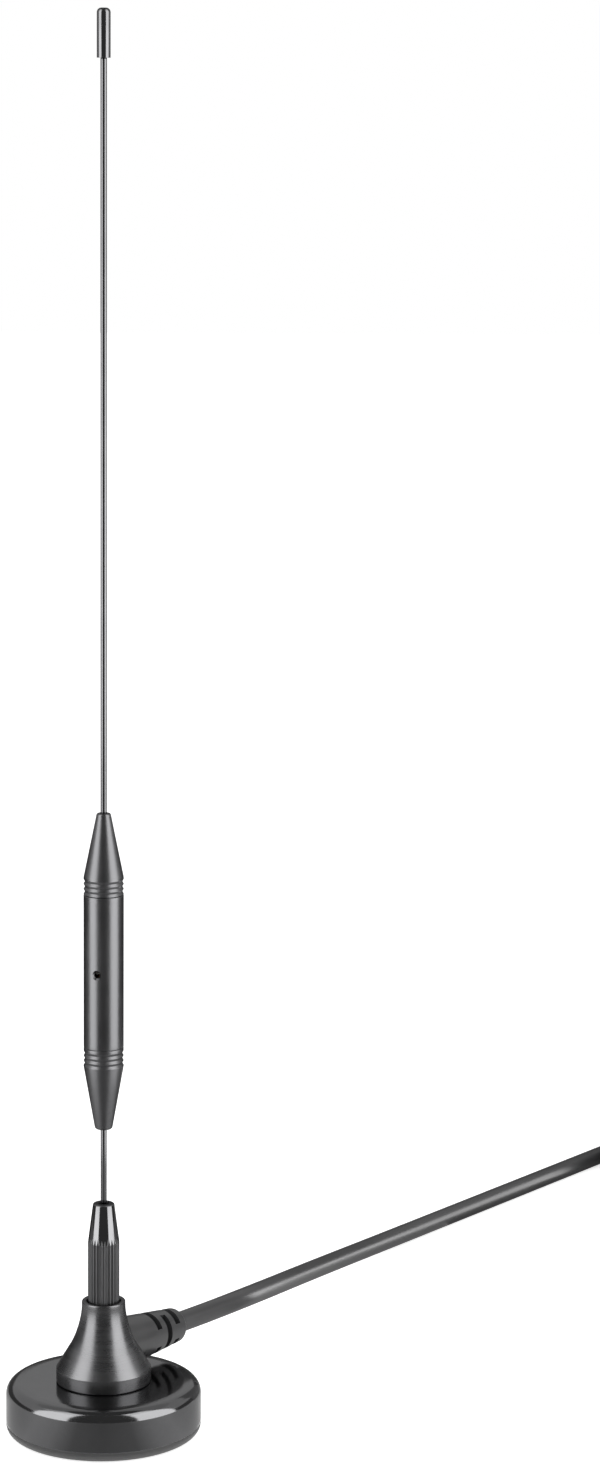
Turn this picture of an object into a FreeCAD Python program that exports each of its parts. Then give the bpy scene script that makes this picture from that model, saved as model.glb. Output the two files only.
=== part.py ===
"""Indoor TV antenna: a whip with a centre coil, screwed into a cone on a magnetic base.

Millimetres, +Z up. The origin is the centre of the base's underside and Z is the
whip's axis. Each sub-part is written to parts/NAME.step.
"""
import FreeCAD, Part
import math
import os

V = FreeCAD.Vector
UP = V(0, 0, 1)

# Clearances
FIT = 0.05
SNUG = 0.02

# Base: steel cup, ring magnet and foot pad
BASE_RADIUS = 24.7
BASE_HEIGHT = 13.2
CUP_WALL = 1.2
CUP_EDGE = 3.0
CUP_HOLE_RADIUS = 3.2
PAD_LIP = 2.7
PAD_EDGE = 2.4
PAD_SPIGOT = 1.3
MAGNET_BORE_RADIUS = 8.0
MAGNET_EDGE_GAP = 0.5
MAGNET_CHAMFER = 0.5

# Mounting cone
FOOT_RADIUS = 12.0
FOOT_BAND = 3.6
CONE_HEIGHT = 21.2
NECK_RADIUS = 5.6
NECK_DRAFT = 0.1
FLARE_RADIUS = 21.0
FLARE_SLOPE = 0.6
RIM_EDGE = 0.4
RECESS_RADIUS = 4.6
RECESS_DEPTH = 7.2
CONE_WALL = 2.0
CAVITY_HEIGHT = 9.8
CAVITY_TOP_RADIUS = 5.4

# Insulated centre bolt that carries the whip and clamps the cone to the cup
THREAD_RADIUS = 2.5
THREAD_PITCH = 0.8
THREAD_TURNS = 6
BOLT_FLANGE = 1.2
BOLT_FLANGE_RADIUS = 4.3
BOLT_BODY_RADIUS = 3.4
BOLT_SHANK_RADIUS = 2.0
BOLT_TIP_CHAMFER = 0.4
BUSH_FLANGE = 1.0
BUSH_WALL = 0.5
LOWER_BUSH_FLANGE = 0.8
LOWER_BUSH_FLANGE_RADIUS = 5.6
LOWER_BUSH_RISE = 0.6
CLAMP_WASHER = 0.8
CLAMP_WASHER_RADIUS = 4.5
NUT_HEIGHT = 3.2
NUT_ACROSS_FLATS = 7.0
SHANK_OVERRUN = 0.8
TAG_THICKNESS = 0.5
TAG_RADIUS = 3.6
TAG_TAIL_WIDTH = 2.2
TAG_TAIL_GAP = 0.3

# Ferrule that grips the foot of the whip
SEAL_THICKNESS = 0.8
SEAL_RADIUS = 4.3
FERRULE_RADIUS = 3.98
FERRULE_STRAIGHT = 19.4
FERRULE_TAPER = 10.2
FERRULE_TOP_RADIUS = 2.68
FERRULE_TOP_EDGE = 0.5
FERRULE_MOUTH_RADIUS = 1.37
FERRULE_MOUTH_DEPTH = 1.3
FERRULE_SOCKET_DEPTH = 14.0
FLUTES = 27
FLUTE_DEPTH = 0.2
FLUTE_LAND = 0.36
STUD_RADIUS = 2.45
STUD_CHAMFER = 0.4

# Whips, loading coil and tip
WHIP_RADIUS = 0.78
LOWER_CONE_BOTTOM = 79.1
LOWER_CONE_LENGTH = 16.45
LOWER_CONE_END_RADIUS = 2.15
LOWER_CONE_END_EDGE = 0.7
COIL_RADIUS = 5.0
COIL_LIP_RADIUS = 5.05
GROOVES = 3
GROOVE_PITCH = 1.27
GROOVE_DEPTH = 0.36
GROOVE_EDGE = 0.1
LOWER_COLLAR = 0.9
UPPER_COLLAR = 0.2
UPPER_BAND = 0.4
SLEEVE_LENGTH = 38.9
SLEEVE_WALL = 0.9
SLEEVE_EDGE = 0.2
SLEEVE_HOLE_RADIUS = 0.8
SLEEVE_HOLE_SINK = 0.45
SLEEVE_HOLE_HEIGHT = 19.3
SLEEVE_HOLE_ANGLE = -110.8
SPIGOT_LENGTH = 5.0
UPPER_CONE_LENGTH = 16.15
UPPER_CONE_END_RADIUS = 1.72
UPPER_CONE_END_EDGE = 0.45
UPPER_CONE_SHOULDER = 3.0
FORMER_CORE_RADIUS = 2.2
FORMER_FLANGE = 1.6
FORMER_SOCKET_DEPTH = 6.0
WIRE_RADIUS = 0.42
WINDING_PITCH = 2.4
WINDING_END_GAP = 0.4
TIP_BOTTOM = 343.7
TIP_LENGTH = 11.8
TIP_RADIUS = 1.66
TIP_EDGE = 1.1
TIP_FOOT_EDGE = 0.08
TIP_SOCKET_DEPTH = 7.0

# Aerial lead and its strain relief, placed along the lead's exit axis
LEAD_RADIUS = 2.65
LEAD_ANGLE = 50.0
LEAD_SLOPE = 2.58
LEAD_HEIGHT = 21.7
RELIEF_ROOT_RADIUS = 6.15
RELIEF_ROOT_AT = 9.8
RELIEF_END_RADIUS = 4.4
RELIEF_END_AT = 28.5
RELIEF_END_EDGE = 1.0
RELIEF_SKIRT_AT = 4.0
RELIEF_NECK_RADIUS = 3.9
RELIEF_NECK_AT = 6.6
RELIEF_FIRST_SLOT_AT = 16.5
RELIEF_SLOT_PITCH = 4.05
RELIEF_SLOT_RINGS = 3
RELIEF_SLOT_WIDTH = 2.0
RELIEF_SLOT_SPREAD = 130.0
SIDE_BORE_START = 5.2
DIELECTRIC_RADIUS = 1.7
CORE_RADIUS = 0.45
CORE_START = 2.5

# Coil of spare lead, its tie and the plug
TURNS_WIDE = 3
TURNS_HIGH = 2
COIL_CENTRE = V(197.3, 232.7, 0)
COIL_MIDDLE_RADIUS = 29.0
TIE_ANGLE = 205.0
TIE_WIDTH = 6.0
TIE_THICKNESS = 0.8
TIE_SLACK = 0.3
PLUG_ANGLE = -60.0
PLUG_CHORD = 27.0
PLUG_PAST = 4.3
GRIP_RADIUS = 6.0
GRIP_LENGTH = 22.0
GRIP_NOSE_RADIUS = 5.6
GRIP_NOSE_LENGTH = 4.0
GRIP_TAIL_RADIUS = 3.9
GRIP_TAIL_LENGTH = 5.0
GRIP_RIBS = 8
GRIP_RIB_DEPTH = 0.35
CONTACT_RADIUS = 4.75
CONTACT_WALL = 0.5
CONTACT_LENGTH = 13.5
CONTACT_EMBED = 3.0
CONTACT_STEP = 0.2
PLUG_PIN_RADIUS = 1.2
PLUG_PIN_SHORT = 1.0

# Route of the lead from the strain relief to the coil, and from the coil to the plug
LEAD_FIRST_BEND_AT = 60.0
LEAD_ROUTE = [
    V(58.4, 99.8, 9.7),
    V(81.9, 148.0, 2.65),
    V(113.4, 186.8, 2.65),
    V(143.1, 220.4, 2.65),
    V(162.7, 244.8, 2.65),
]
TAIL_ROUTE = [
    V(171.0, 254.7, 9.0),
    V(176.8, 261.6, 10.2),
    V(187.6, 267.3, 12.2),
    V(199.7, 268.5, 13.3),
    V(211.4, 265.0, 13.3),
    V(220.9, 257.4, 13.4),
    V(226.8, 246.7, 13.6),
    V(228.2, 234.6, 14.4),
    V(225.0, 222.8, 15.7),
]
TAIL_LAST_RUN = 12.0

# Heights that follow from the sizes above
CUP_TOP_INSIDE = BASE_HEIGHT - CUP_WALL
MAGNET_BOTTOM = PAD_LIP + PAD_SPIGOT
CONE_TOP = BASE_HEIGHT + CONE_HEIGHT
RECESS_FLOOR = CONE_TOP - RECESS_DEPTH
BOLT_SEAT = RECESS_FLOOR + BUSH_FLANGE
SOCKET_TOP = BOLT_SEAT + BOLT_FLANGE
TAG_BOTTOM = LEAD_HEIGHT + CORE_RADIUS
BOLT_SHOULDER = TAG_BOTTOM + TAG_THICKNESS
FERRULE_BOTTOM = SOCKET_TOP + SEAL_THICKNESS
FERRULE_SHOULDER = FERRULE_BOTTOM + FERRULE_STRAIGHT
FERRULE_TOP = FERRULE_SHOULDER + FERRULE_TAPER
STUD_LENGTH = SEAL_THICKNESS + THREAD_TURNS * THREAD_PITCH
COIL_LIP = LOWER_CONE_BOTTOM + LOWER_CONE_LENGTH
SLEEVE_BOTTOM = COIL_LIP + GROOVES * GROOVE_PITCH + LOWER_COLLAR
SLEEVE_TOP = SLEEVE_BOTTOM + SLEEVE_LENGTH
UPPER_GROOVES_AT = SLEEVE_TOP + UPPER_COLLAR
UPPER_SHOULDER = UPPER_GROOVES_AT + GROOVES * GROOVE_PITCH + UPPER_BAND
UPPER_CONE_TOP = UPPER_SHOULDER + UPPER_CONE_LENGTH
SLEEVE_BORE_RADIUS = COIL_RADIUS - SLEEVE_WALL
FORMER_BOTTOM = SLEEVE_BOTTOM + SPIGOT_LENGTH
FORMER_TOP = SLEEVE_TOP - SPIGOT_LENGTH
LEAD_DIAMETER = 2 * LEAD_RADIUS
COIL_WIDTH = TURNS_WIDE * LEAD_DIAMETER
COIL_HEIGHT = TURNS_HIGH * LEAD_DIAMETER


def outline(corners):
    """Closed wire in the XZ plane through (radius, height, rounding) corners."""
    count = len(corners)
    points = [V(c[0], 0, c[1]) for c in corners]
    rounding = [c[2] if len(c) > 2 else 0 for c in corners]
    starts, ends, edges = [], [], []
    for i, here in enumerate(points):
        if not rounding[i]:
            starts.append(here)
            ends.append(here)
            edges.append(None)
            continue
        back = (points[i - 1] - here).normalize()
        ahead = (points[(i + 1) % count] - here).normalize()
        half = back.getAngle(ahead) / 2
        reach = rounding[i] / math.tan(half)
        inward = (back + ahead).normalize()
        middle = here + inward * (rounding[i] / math.sin(half) - rounding[i])
        starts.append(here + back * reach)
        ends.append(here + ahead * reach)
        edges.append(Part.Arc(starts[i], middle, ends[i]).toShape())
    wire = []
    for i in range(count):
        if edges[i]:
            wire.append(edges[i])
        following = starts[(i + 1) % count]
        if ends[i].distanceToPoint(following) > 1e-6:
            wire.append(Part.LineSegment(ends[i], following).toShape())
    return Part.Wire(wire)


def turned(corners):
    """Solid of revolution about Z."""
    return Part.Face(outline(corners)).revolve(V(0, 0, 0), UP, 360)


def rod(radius, bottom, top, start=V(0, 0, 0), direction=UP):
    """Cylinder from one distance to another along a direction."""
    return Part.makeCylinder(radius, top - bottom, start + direction * bottom, direction)


def ring(inner, outer, bottom, top):
    """Plain ring about Z."""
    return rod(outer, bottom, top).cut(rod(inner, bottom, top))


def aimed(shape, start, direction):
    """Shape built about +Z, moved to start and turned to point along direction."""
    moved = shape.copy()
    moved.Placement = FreeCAD.Placement(start, FreeCAD.Rotation(UP, direction))
    return moved


def bearing(degrees):
    """Level unit vector at an angle from +X towards +Y."""
    angle = math.radians(degrees)
    return V(math.cos(angle), math.sin(angle), 0)


def base_cup():
    """Pressed steel cup with a rounded top edge and a centre hole."""
    inner = BASE_RADIUS - CUP_WALL
    return turned([
        (CUP_HOLE_RADIUS, CUP_TOP_INSIDE),
        (inner, CUP_TOP_INSIDE, CUP_EDGE - CUP_WALL),
        (inner, PAD_LIP),
        (BASE_RADIUS, PAD_LIP),
        (BASE_RADIUS, BASE_HEIGHT, CUP_EDGE),
        (CUP_HOLE_RADIUS, BASE_HEIGHT),
    ])


def ring_magnet():
    """Ferrite ring that fills the cup, with its corners broken."""
    outer = BASE_RADIUS - CUP_WALL - MAGNET_EDGE_GAP
    cut = MAGNET_CHAMFER
    upper_cut = CUP_EDGE - CUP_WALL
    return turned([
        (MAGNET_BORE_RADIUS, MAGNET_BOTTOM),
        (outer - cut, MAGNET_BOTTOM),
        (outer, MAGNET_BOTTOM + cut),
        (outer, CUP_TOP_INSIDE - upper_cut),
        (outer - upper_cut, CUP_TOP_INSIDE),
        (MAGNET_BORE_RADIUS, CUP_TOP_INSIDE),
    ])


def base_pad():
    """Foot pad: a rounded lip under the cup's wall and a spigot inside it."""
    spigot = BASE_RADIUS - CUP_WALL - FIT
    return turned([
        (0, 0),
        (BASE_RADIUS, 0, PAD_EDGE),
        (BASE_RADIUS, PAD_LIP),
        (spigot, PAD_LIP),
        (spigot, MAGNET_BOTTOM),
        (0, MAGNET_BOTTOM),
    ])


def cone_outside(extra=0.0):
    """Outer corners of the mounting cone, grown outwards by extra."""
    band_top = BASE_HEIGHT + FOOT_BAND
    meet = NECK_RADIUS
    flare_height = (FOOT_RADIUS - meet) / FLARE_SLOPE
    return [
        (FOOT_RADIUS + extra, BASE_HEIGHT, 0),
        (FOOT_RADIUS + extra, band_top, 0.25),
        (meet + extra, band_top + flare_height, FLARE_RADIUS),
        (NECK_RADIUS - NECK_DRAFT + extra, CONE_TOP, RIM_EDGE),
    ]


def lead_axis():
    """Direction in which the lead leaves the cone, slightly downhill."""
    slope = math.radians(LEAD_SLOPE)
    return bearing(LEAD_ANGLE) * math.cos(slope) - UP * math.sin(slope)


def lead_at(distance):
    """Point on the lead's exit axis at a distance from the whip's axis."""
    return V(0, 0, LEAD_HEIGHT) + lead_axis() * distance


def mount_cone():
    """Flared cone: foot band, recess for the ferrule, cavity and side bore."""
    cavity_top = BASE_HEIGHT + CAVITY_HEIGHT
    cavity_foot = FOOT_RADIUS - CONE_WALL
    bush_bore = BOLT_BODY_RADIUS + BUSH_WALL + 2 * FIT
    body = turned(cone_outside() + [
        (RECESS_RADIUS, CONE_TOP, RIM_EDGE),
        (RECESS_RADIUS, RECESS_FLOOR),
        (bush_bore, RECESS_FLOOR),
        (bush_bore, cavity_top),
        (CAVITY_TOP_RADIUS, cavity_top, 0.5),
        (cavity_foot, BASE_HEIGHT + FOOT_BAND),
        (cavity_foot, BASE_HEIGHT),
    ])
    bore = rod(RELIEF_NECK_RADIUS + FIT, SIDE_BORE_START, FOOT_RADIUS + 2, lead_at(0), lead_axis())
    return body.cut(bore)


def insulator_bush():
    """Flanged sleeve that keeps the live bolt off the cone."""
    inner = BOLT_BODY_RADIUS + FIT
    outer = inner + BUSH_WALL
    flange = RECESS_RADIUS - FIT
    return turned([
        (inner, BOLT_SHOULDER),
        (outer, BOLT_SHOULDER),
        (outer, RECESS_FLOOR),
        (flange, RECESS_FLOOR),
        (flange, BOLT_SEAT),
        (inner, BOLT_SEAT),
    ])


def nut_bottom():
    """Height of the clamp nut's lower face."""
    return CUP_TOP_INSIDE - LOWER_BUSH_FLANGE - CLAMP_WASHER - NUT_HEIGHT


def socket_bolt():
    """Flanged bolt: a blind threaded socket above, a long shank below."""
    tip = nut_bottom() - SHANK_OVERRUN
    socket_floor = SOCKET_TOP - THREAD_TURNS * THREAD_PITCH - 0.3
    return turned([
        (0, tip),
        (BOLT_SHANK_RADIUS - BOLT_TIP_CHAMFER, tip),
        (BOLT_SHANK_RADIUS, tip + BOLT_TIP_CHAMFER),
        (BOLT_SHANK_RADIUS, BOLT_SHOULDER),
        (BOLT_BODY_RADIUS, BOLT_SHOULDER),
        (BOLT_BODY_RADIUS, BOLT_SEAT),
        (BOLT_FLANGE_RADIUS, BOLT_SEAT),
        (BOLT_FLANGE_RADIUS, SOCKET_TOP),
        (THREAD_RADIUS, SOCKET_TOP),
        (THREAD_RADIUS, socket_floor),
        (0, socket_floor - THREAD_RADIUS / 2),
    ])


def solder_tag():
    """Ring tag under the bolt's shoulder, its tail over the lead's core."""
    corner = V(0, -TAG_TAIL_WIDTH / 2, TAG_BOTTOM)
    length = SIDE_BORE_START - TAG_TAIL_GAP
    plate = rod(TAG_RADIUS, TAG_BOTTOM, BOLT_SHOULDER)
    tail = Part.makeBox(length, TAG_TAIL_WIDTH, TAG_THICKNESS, corner)
    tail.rotate(V(0, 0, 0), UP, LEAD_ANGLE)
    hole = rod(BOLT_SHANK_RADIUS + FIT, TAG_BOTTOM, BOLT_SHOULDER)
    return plate.fuse(tail).cut(hole).removeSplitter()


def lower_bush():
    """Flanged bush that keeps the bolt off the cup."""
    inner = BOLT_SHANK_RADIUS + FIT
    low = CUP_TOP_INSIDE - LOWER_BUSH_FLANGE
    return turned([
        (inner, low),
        (LOWER_BUSH_FLANGE_RADIUS, low),
        (LOWER_BUSH_FLANGE_RADIUS, CUP_TOP_INSIDE),
        (CUP_HOLE_RADIUS - FIT, CUP_TOP_INSIDE),
        (CUP_HOLE_RADIUS - FIT, BASE_HEIGHT + LOWER_BUSH_RISE),
        (inner, BASE_HEIGHT + LOWER_BUSH_RISE),
    ])


def clamp_washer():
    """Plain washer between the lower bush and the nut."""
    top = CUP_TOP_INSIDE - LOWER_BUSH_FLANGE
    return ring(BOLT_SHANK_RADIUS + FIT, CLAMP_WASHER_RADIUS, top - CLAMP_WASHER, top)


def clamp_nut():
    """Hexagon nut with its corners turned off."""
    low = nut_bottom()
    corner = NUT_ACROSS_FLATS / math.sqrt(3)
    points = [bearing(60 * i) * corner + V(0, 0, low) for i in range(7)]
    prism = Part.Face(Part.makePolygon(points)).extrude(V(0, 0, NUT_HEIGHT))
    cut = corner - NUT_ACROSS_FLATS / 2
    drop = cut * math.tan(math.radians(30))
    blank = turned([
        (0, low),
        (corner - cut, low),
        (corner, low + drop),
        (corner, low + NUT_HEIGHT - drop),
        (corner - cut, low + NUT_HEIGHT),
        (0, low + NUT_HEIGHT),
    ])
    return prism.common(blank).cut(rod(BOLT_SHANK_RADIUS + FIT, low, low + NUT_HEIGHT))


def seal_washer():
    """Fibre washer under the ferrule, loose on its stud."""
    return ring(STUD_RADIUS + FIT, SEAL_RADIUS, SOCKET_TOP, FERRULE_BOTTOM)


def fluted_prism(low, high):
    """Prism whose section is a circle with V flutes cut in it."""
    step = 2 * math.pi / FLUTES
    land = FLUTE_LAND * step
    edges = []

    def at(angle, radius=FERRULE_RADIUS):
        return V(radius * math.cos(angle), radius * math.sin(angle), low)

    for i in range(FLUTES):
        start = i * step
        edges.append(Part.Arc(at(start), at(start + land / 2), at(start + land)).toShape())
        valley = at(start + (land + step) / 2, FERRULE_RADIUS - FLUTE_DEPTH)
        edges.append(Part.LineSegment(at(start + land), valley).toShape())
        edges.append(Part.LineSegment(valley, at(start + step)).toShape())
    return Part.Face(Part.Wire(edges)).extrude(V(0, 0, high - low))


def ferrule():
    """Fluted, tapered whip holder with a plain stud below."""
    blank = turned([
        (0, FERRULE_BOTTOM),
        (FERRULE_RADIUS + 1, FERRULE_BOTTOM),
        (FERRULE_RADIUS + 1, FERRULE_SHOULDER),
        (FERRULE_RADIUS, FERRULE_SHOULDER),
        (FERRULE_TOP_RADIUS, FERRULE_TOP, FERRULE_TOP_EDGE),
        (0, FERRULE_TOP),
    ])
    body = fluted_prism(FERRULE_BOTTOM, FERRULE_TOP + 1).common(blank)
    stud_end = FERRULE_BOTTOM - STUD_LENGTH
    stud = turned([
        (0, stud_end),
        (STUD_RADIUS - STUD_CHAMFER, stud_end),
        (STUD_RADIUS, stud_end + STUD_CHAMFER),
        (STUD_RADIUS, FERRULE_BOTTOM),
        (0, FERRULE_BOTTOM),
    ])
    bore = WHIP_RADIUS + SNUG
    mouth = FERRULE_TOP - FERRULE_MOUTH_DEPTH
    socket = turned([
        (0, FERRULE_TOP - FERRULE_SOCKET_DEPTH),
        (bore, FERRULE_TOP - FERRULE_SOCKET_DEPTH),
        (bore, mouth - (FERRULE_MOUTH_RADIUS - bore)),
        (FERRULE_MOUTH_RADIUS, mouth),
        (FERRULE_MOUTH_RADIUS, FERRULE_TOP + 1),
        (0, FERRULE_TOP + 1),
    ])
    return body.fuse(stud).cut(socket)


def lower_whip():
    """Steel wire from the ferrule's socket into the coil's former."""
    low = FERRULE_TOP - FERRULE_SOCKET_DEPTH + FIT
    return rod(WHIP_RADIUS, low, FORMER_BOTTOM + FORMER_SOCKET_DEPTH - FIT)


def grooves(start):
    """Corners of a band of V grooves and the ridges between them, upwards from start."""
    corners = []
    for i in range(GROOVES):
        corners.append((COIL_RADIUS - GROOVE_DEPTH, start + GROOVE_PITCH * (i + 0.5), GROOVE_EDGE))
        corners.append((COIL_RADIUS, start + GROOVE_PITCH * (i + 1), GROOVE_EDGE))
    return corners


def coil_bottom_cone():
    """Lower end of the coil's housing: long taper, lip, grooves and spigot."""
    bore = WHIP_RADIUS + SNUG
    spigot = SLEEVE_BORE_RADIUS - SNUG
    return turned([
        (bore, LOWER_CONE_BOTTOM),
        (LOWER_CONE_END_RADIUS, LOWER_CONE_BOTTOM, LOWER_CONE_END_EDGE),
        (COIL_LIP_RADIUS, COIL_LIP, GROOVE_EDGE),
    ] + grooves(COIL_LIP) + [
        (COIL_RADIUS, SLEEVE_BOTTOM, SLEEVE_EDGE),
        (spigot, SLEEVE_BOTTOM),
        (spigot, FORMER_BOTTOM),
        (bore, FORMER_BOTTOM),
    ])


def coil_sleeve():
    """Tube round the winding, with one countersunk hole in its wall."""
    body = turned([
        (SLEEVE_BORE_RADIUS, SLEEVE_BOTTOM),
        (COIL_RADIUS, SLEEVE_BOTTOM, SLEEVE_EDGE),
        (COIL_RADIUS, SLEEVE_TOP, SLEEVE_EDGE),
        (SLEEVE_BORE_RADIUS, SLEEVE_TOP),
    ])
    out = bearing(SLEEVE_HOLE_ANGLE)
    start = V(0, 0, SLEEVE_BOTTOM + SLEEVE_HOLE_HEIGHT)
    hole = rod(SLEEVE_HOLE_RADIUS, SLEEVE_BORE_RADIUS - 1, COIL_RADIUS + 1, start, out)
    sink = Part.makeCone(
        SLEEVE_HOLE_RADIUS,
        SLEEVE_HOLE_RADIUS + 2 * SLEEVE_HOLE_SINK,
        2 * SLEEVE_HOLE_SINK,
        start + out * (COIL_RADIUS - SLEEVE_HOLE_SINK),
        out,
    )
    return body.cut(hole.fuse(sink))


def coil_top_cone():
    """Upper end of the coil's housing: spigot, grooves, shoulder and taper."""
    bore = WHIP_RADIUS + SNUG
    spigot = SLEEVE_BORE_RADIUS - SNUG
    return turned([
        (bore, FORMER_TOP),
        (spigot, FORMER_TOP),
        (spigot, SLEEVE_TOP),
        (COIL_RADIUS - UPPER_COLLAR, SLEEVE_TOP),
        (COIL_RADIUS, UPPER_GROOVES_AT),
    ] + grooves(UPPER_GROOVES_AT) + [
        (COIL_RADIUS, UPPER_SHOULDER, UPPER_CONE_SHOULDER),
        (UPPER_CONE_END_RADIUS, UPPER_CONE_TOP, UPPER_CONE_END_EDGE),
        (bore, UPPER_CONE_TOP),
    ])


def coil_former():
    """Bobbin with a flange and a whip socket at each end."""
    flange = SLEEVE_BORE_RADIUS - 2 * FIT
    bore = WHIP_RADIUS + SNUG
    return turned([
        (0, FORMER_BOTTOM + FORMER_SOCKET_DEPTH),
        (bore, FORMER_BOTTOM + FORMER_SOCKET_DEPTH),
        (bore, FORMER_BOTTOM),
        (flange, FORMER_BOTTOM),
        (flange, FORMER_BOTTOM + FORMER_FLANGE),
        (FORMER_CORE_RADIUS, FORMER_BOTTOM + FORMER_FLANGE),
        (FORMER_CORE_RADIUS, FORMER_TOP - FORMER_FLANGE),
        (flange, FORMER_TOP - FORMER_FLANGE),
        (flange, FORMER_TOP),
        (bore, FORMER_TOP),
        (bore, FORMER_TOP - FORMER_SOCKET_DEPTH),
        (0, FORMER_TOP - FORMER_SOCKET_DEPTH),
    ])


def coil_winding():
    """Open helix of enamelled wire on the former."""
    low = FORMER_BOTTOM + FORMER_FLANGE + WIRE_RADIUS + WINDING_END_GAP
    high = FORMER_TOP - FORMER_FLANGE - WIRE_RADIUS - WINDING_END_GAP
    radius = FORMER_CORE_RADIUS + WIRE_RADIUS + SNUG
    helix = Part.makeHelix(WINDING_PITCH, high - low, radius)
    rise = V(0, 2 * math.pi * radius, WINDING_PITCH).normalize()
    section = Part.Wire(Part.makeCircle(WIRE_RADIUS, V(radius, 0, 0), rise))
    wire = Part.Wire(helix).makePipeShell([section], True, True)
    wire.translate(V(0, 0, low))
    return wire


def upper_whip():
    """Steel wire from the coil's former up into the tip."""
    low = FORMER_TOP - FORMER_SOCKET_DEPTH + FIT
    return rod(WHIP_RADIUS, low, TIP_BOTTOM + TIP_SOCKET_DEPTH - FIT)


def tip_cap():
    """Round-ended cap with a blind socket for the whip."""
    bore = WHIP_RADIUS + SNUG
    top = TIP_BOTTOM + TIP_LENGTH
    return turned([
        (bore, TIP_BOTTOM),
        (TIP_RADIUS, TIP_BOTTOM, TIP_FOOT_EDGE),
        (TIP_RADIUS, top, TIP_EDGE),
        (0, top),
        (0, TIP_BOTTOM + TIP_SOCKET_DEPTH),
        (bore, TIP_BOTTOM + TIP_SOCKET_DEPTH),
    ])


def relief_radius(at):
    """Outer radius of the strain relief at a distance from the whip's axis."""
    share = (at - RELIEF_ROOT_AT) / (RELIEF_END_AT - RELIEF_ROOT_AT)
    return RELIEF_ROOT_RADIUS + share * (RELIEF_END_RADIUS - RELIEF_ROOT_RADIUS)


def relief_slots():
    """Pairs of arc-shaped flex slots down to the lead, each ring turned a quarter from the last."""
    slots = []
    for i in range(RELIEF_SLOT_RINGS):
        low = RELIEF_FIRST_SLOT_AT + i * RELIEF_SLOT_PITCH - RELIEF_SLOT_WIDTH / 2
        for side in (0, 180):
            middle = 90 * i + side
            sector = Part.makeCylinder(
                RELIEF_ROOT_RADIUS, RELIEF_SLOT_WIDTH, V(0, 0, low), UP, RELIEF_SLOT_SPREAD
            )
            sector.rotate(V(0, 0, 0), UP, middle - RELIEF_SLOT_SPREAD / 2)
            slots.append(sector)
    return slots


def lead_placement():
    """Placement that turns +Z to the lead's direction and keeps +X upwards."""
    out = lead_axis()
    level = out.cross(UP).normalize()
    over = level.cross(out)
    matrix = FreeCAD.Matrix(
        over.x, level.x, out.x, 0,
        over.y, level.y, out.y, 0,
        over.z, level.z, out.z, LEAD_HEIGHT,
        0, 0, 0, 1,
    )
    return FreeCAD.Placement(matrix)


def along_lead(shape):
    """Shape built about +Z from the origin, moved onto the lead's exit axis."""
    moved = shape.copy()
    moved.Placement = lead_placement()
    return moved


def strain_relief():
    """Tapered boot with flex slots, shaped to the cone, and a neck through its wall."""
    boot = turned([
        (0, RELIEF_SKIRT_AT),
        (relief_radius(RELIEF_SKIRT_AT), RELIEF_SKIRT_AT),
        (RELIEF_END_RADIUS, RELIEF_END_AT, RELIEF_END_EDGE),
        (0, RELIEF_END_AT),
    ])
    for slot in relief_slots():
        boot = boot.cut(slot)
    cone = turned(cone_outside(FIT) + [(0, CONE_TOP), (0, BASE_HEIGHT)])
    boot = along_lead(boot).cut(cone)
    neck = rod(RELIEF_NECK_RADIUS, RELIEF_NECK_AT, RELIEF_ROOT_AT + 2, lead_at(0), lead_axis())
    bore = rod(LEAD_RADIUS, 0, RELIEF_END_AT + 1, lead_at(0), lead_axis())
    return boot.fuse(neck).cut(bore).removeSplitter()


def braid_ring():
    """Crimped ring that earths the lead's braid in the cone's side bore."""
    bore = DIELECTRIC_RADIUS + FIT
    return along_lead(ring(bore, RELIEF_NECK_RADIUS, SIDE_BORE_START, RELIEF_NECK_AT))


def lead_dielectric():
    """Bared plastic insulation of the lead's core."""
    return along_lead(ring(CORE_RADIUS + SNUG, DIELECTRIC_RADIUS, SIDE_BORE_START, RELIEF_NECK_AT))


def lead_core():
    """Bared copper core of the lead, under the solder tag."""
    return along_lead(rod(CORE_RADIUS, CORE_START, RELIEF_NECK_AT))


def tube(points, radius):
    """Round tube along straight runs joined by tangent arcs, with its arc radii and length."""
    edges = []
    radii = []
    here = points[0]
    for before, corner, after in zip(points, points[1:], points[2:]):
        back = before - corner
        ahead = after - corner
        reach = 0.45 * min(back.Length, ahead.Length)
        back.normalize()
        ahead.normalize()
        half = back.getAngle(ahead) / 2
        bend = reach * math.tan(half)
        inward = (back + ahead).normalize()
        middle = corner + inward * (bend / math.sin(half) - bend)
        start = corner + back * reach
        end = corner + ahead * reach
        edges.append(Part.LineSegment(here, start).toShape())
        edges.append(Part.Arc(start, middle, end).toShape())
        radii.append(bend)
        here = end
    edges.append(Part.LineSegment(here, points[-1]).toShape())
    path = Part.Wire(edges)
    section = Part.Wire(Part.makeCircle(radius, points[0], points[1] - points[0]))
    return path.makePipeShell([section], True, False), radii, path.Length


def plug_direction():
    """Level direction in which the plug points, across the coil."""
    return bearing(PLUG_ANGLE - 90)


def plug_rear():
    """Middle of the plug's rear end, with the plug lying on the coil."""
    beside = COIL_CENTRE + bearing(PLUG_ANGLE) * PLUG_CHORD
    return beside + plug_direction() * PLUG_PAST + V(0, 0, COIL_HEIGHT + GRIP_RADIUS)


def lead_run():
    """Lead from inside the strain relief down to the table and away to the coil."""
    return tube([lead_at(RELIEF_NECK_AT), lead_at(LEAD_FIRST_BEND_AT)] + LEAD_ROUTE, LEAD_RADIUS)


def lead_tail():
    """End of the lead, up out of the coil and over it to the plug."""
    last_bend = plug_rear() - plug_direction() * TAIL_LAST_RUN
    return tube(TAIL_ROUTE + [last_bend, plug_rear()], LEAD_RADIUS)


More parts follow.
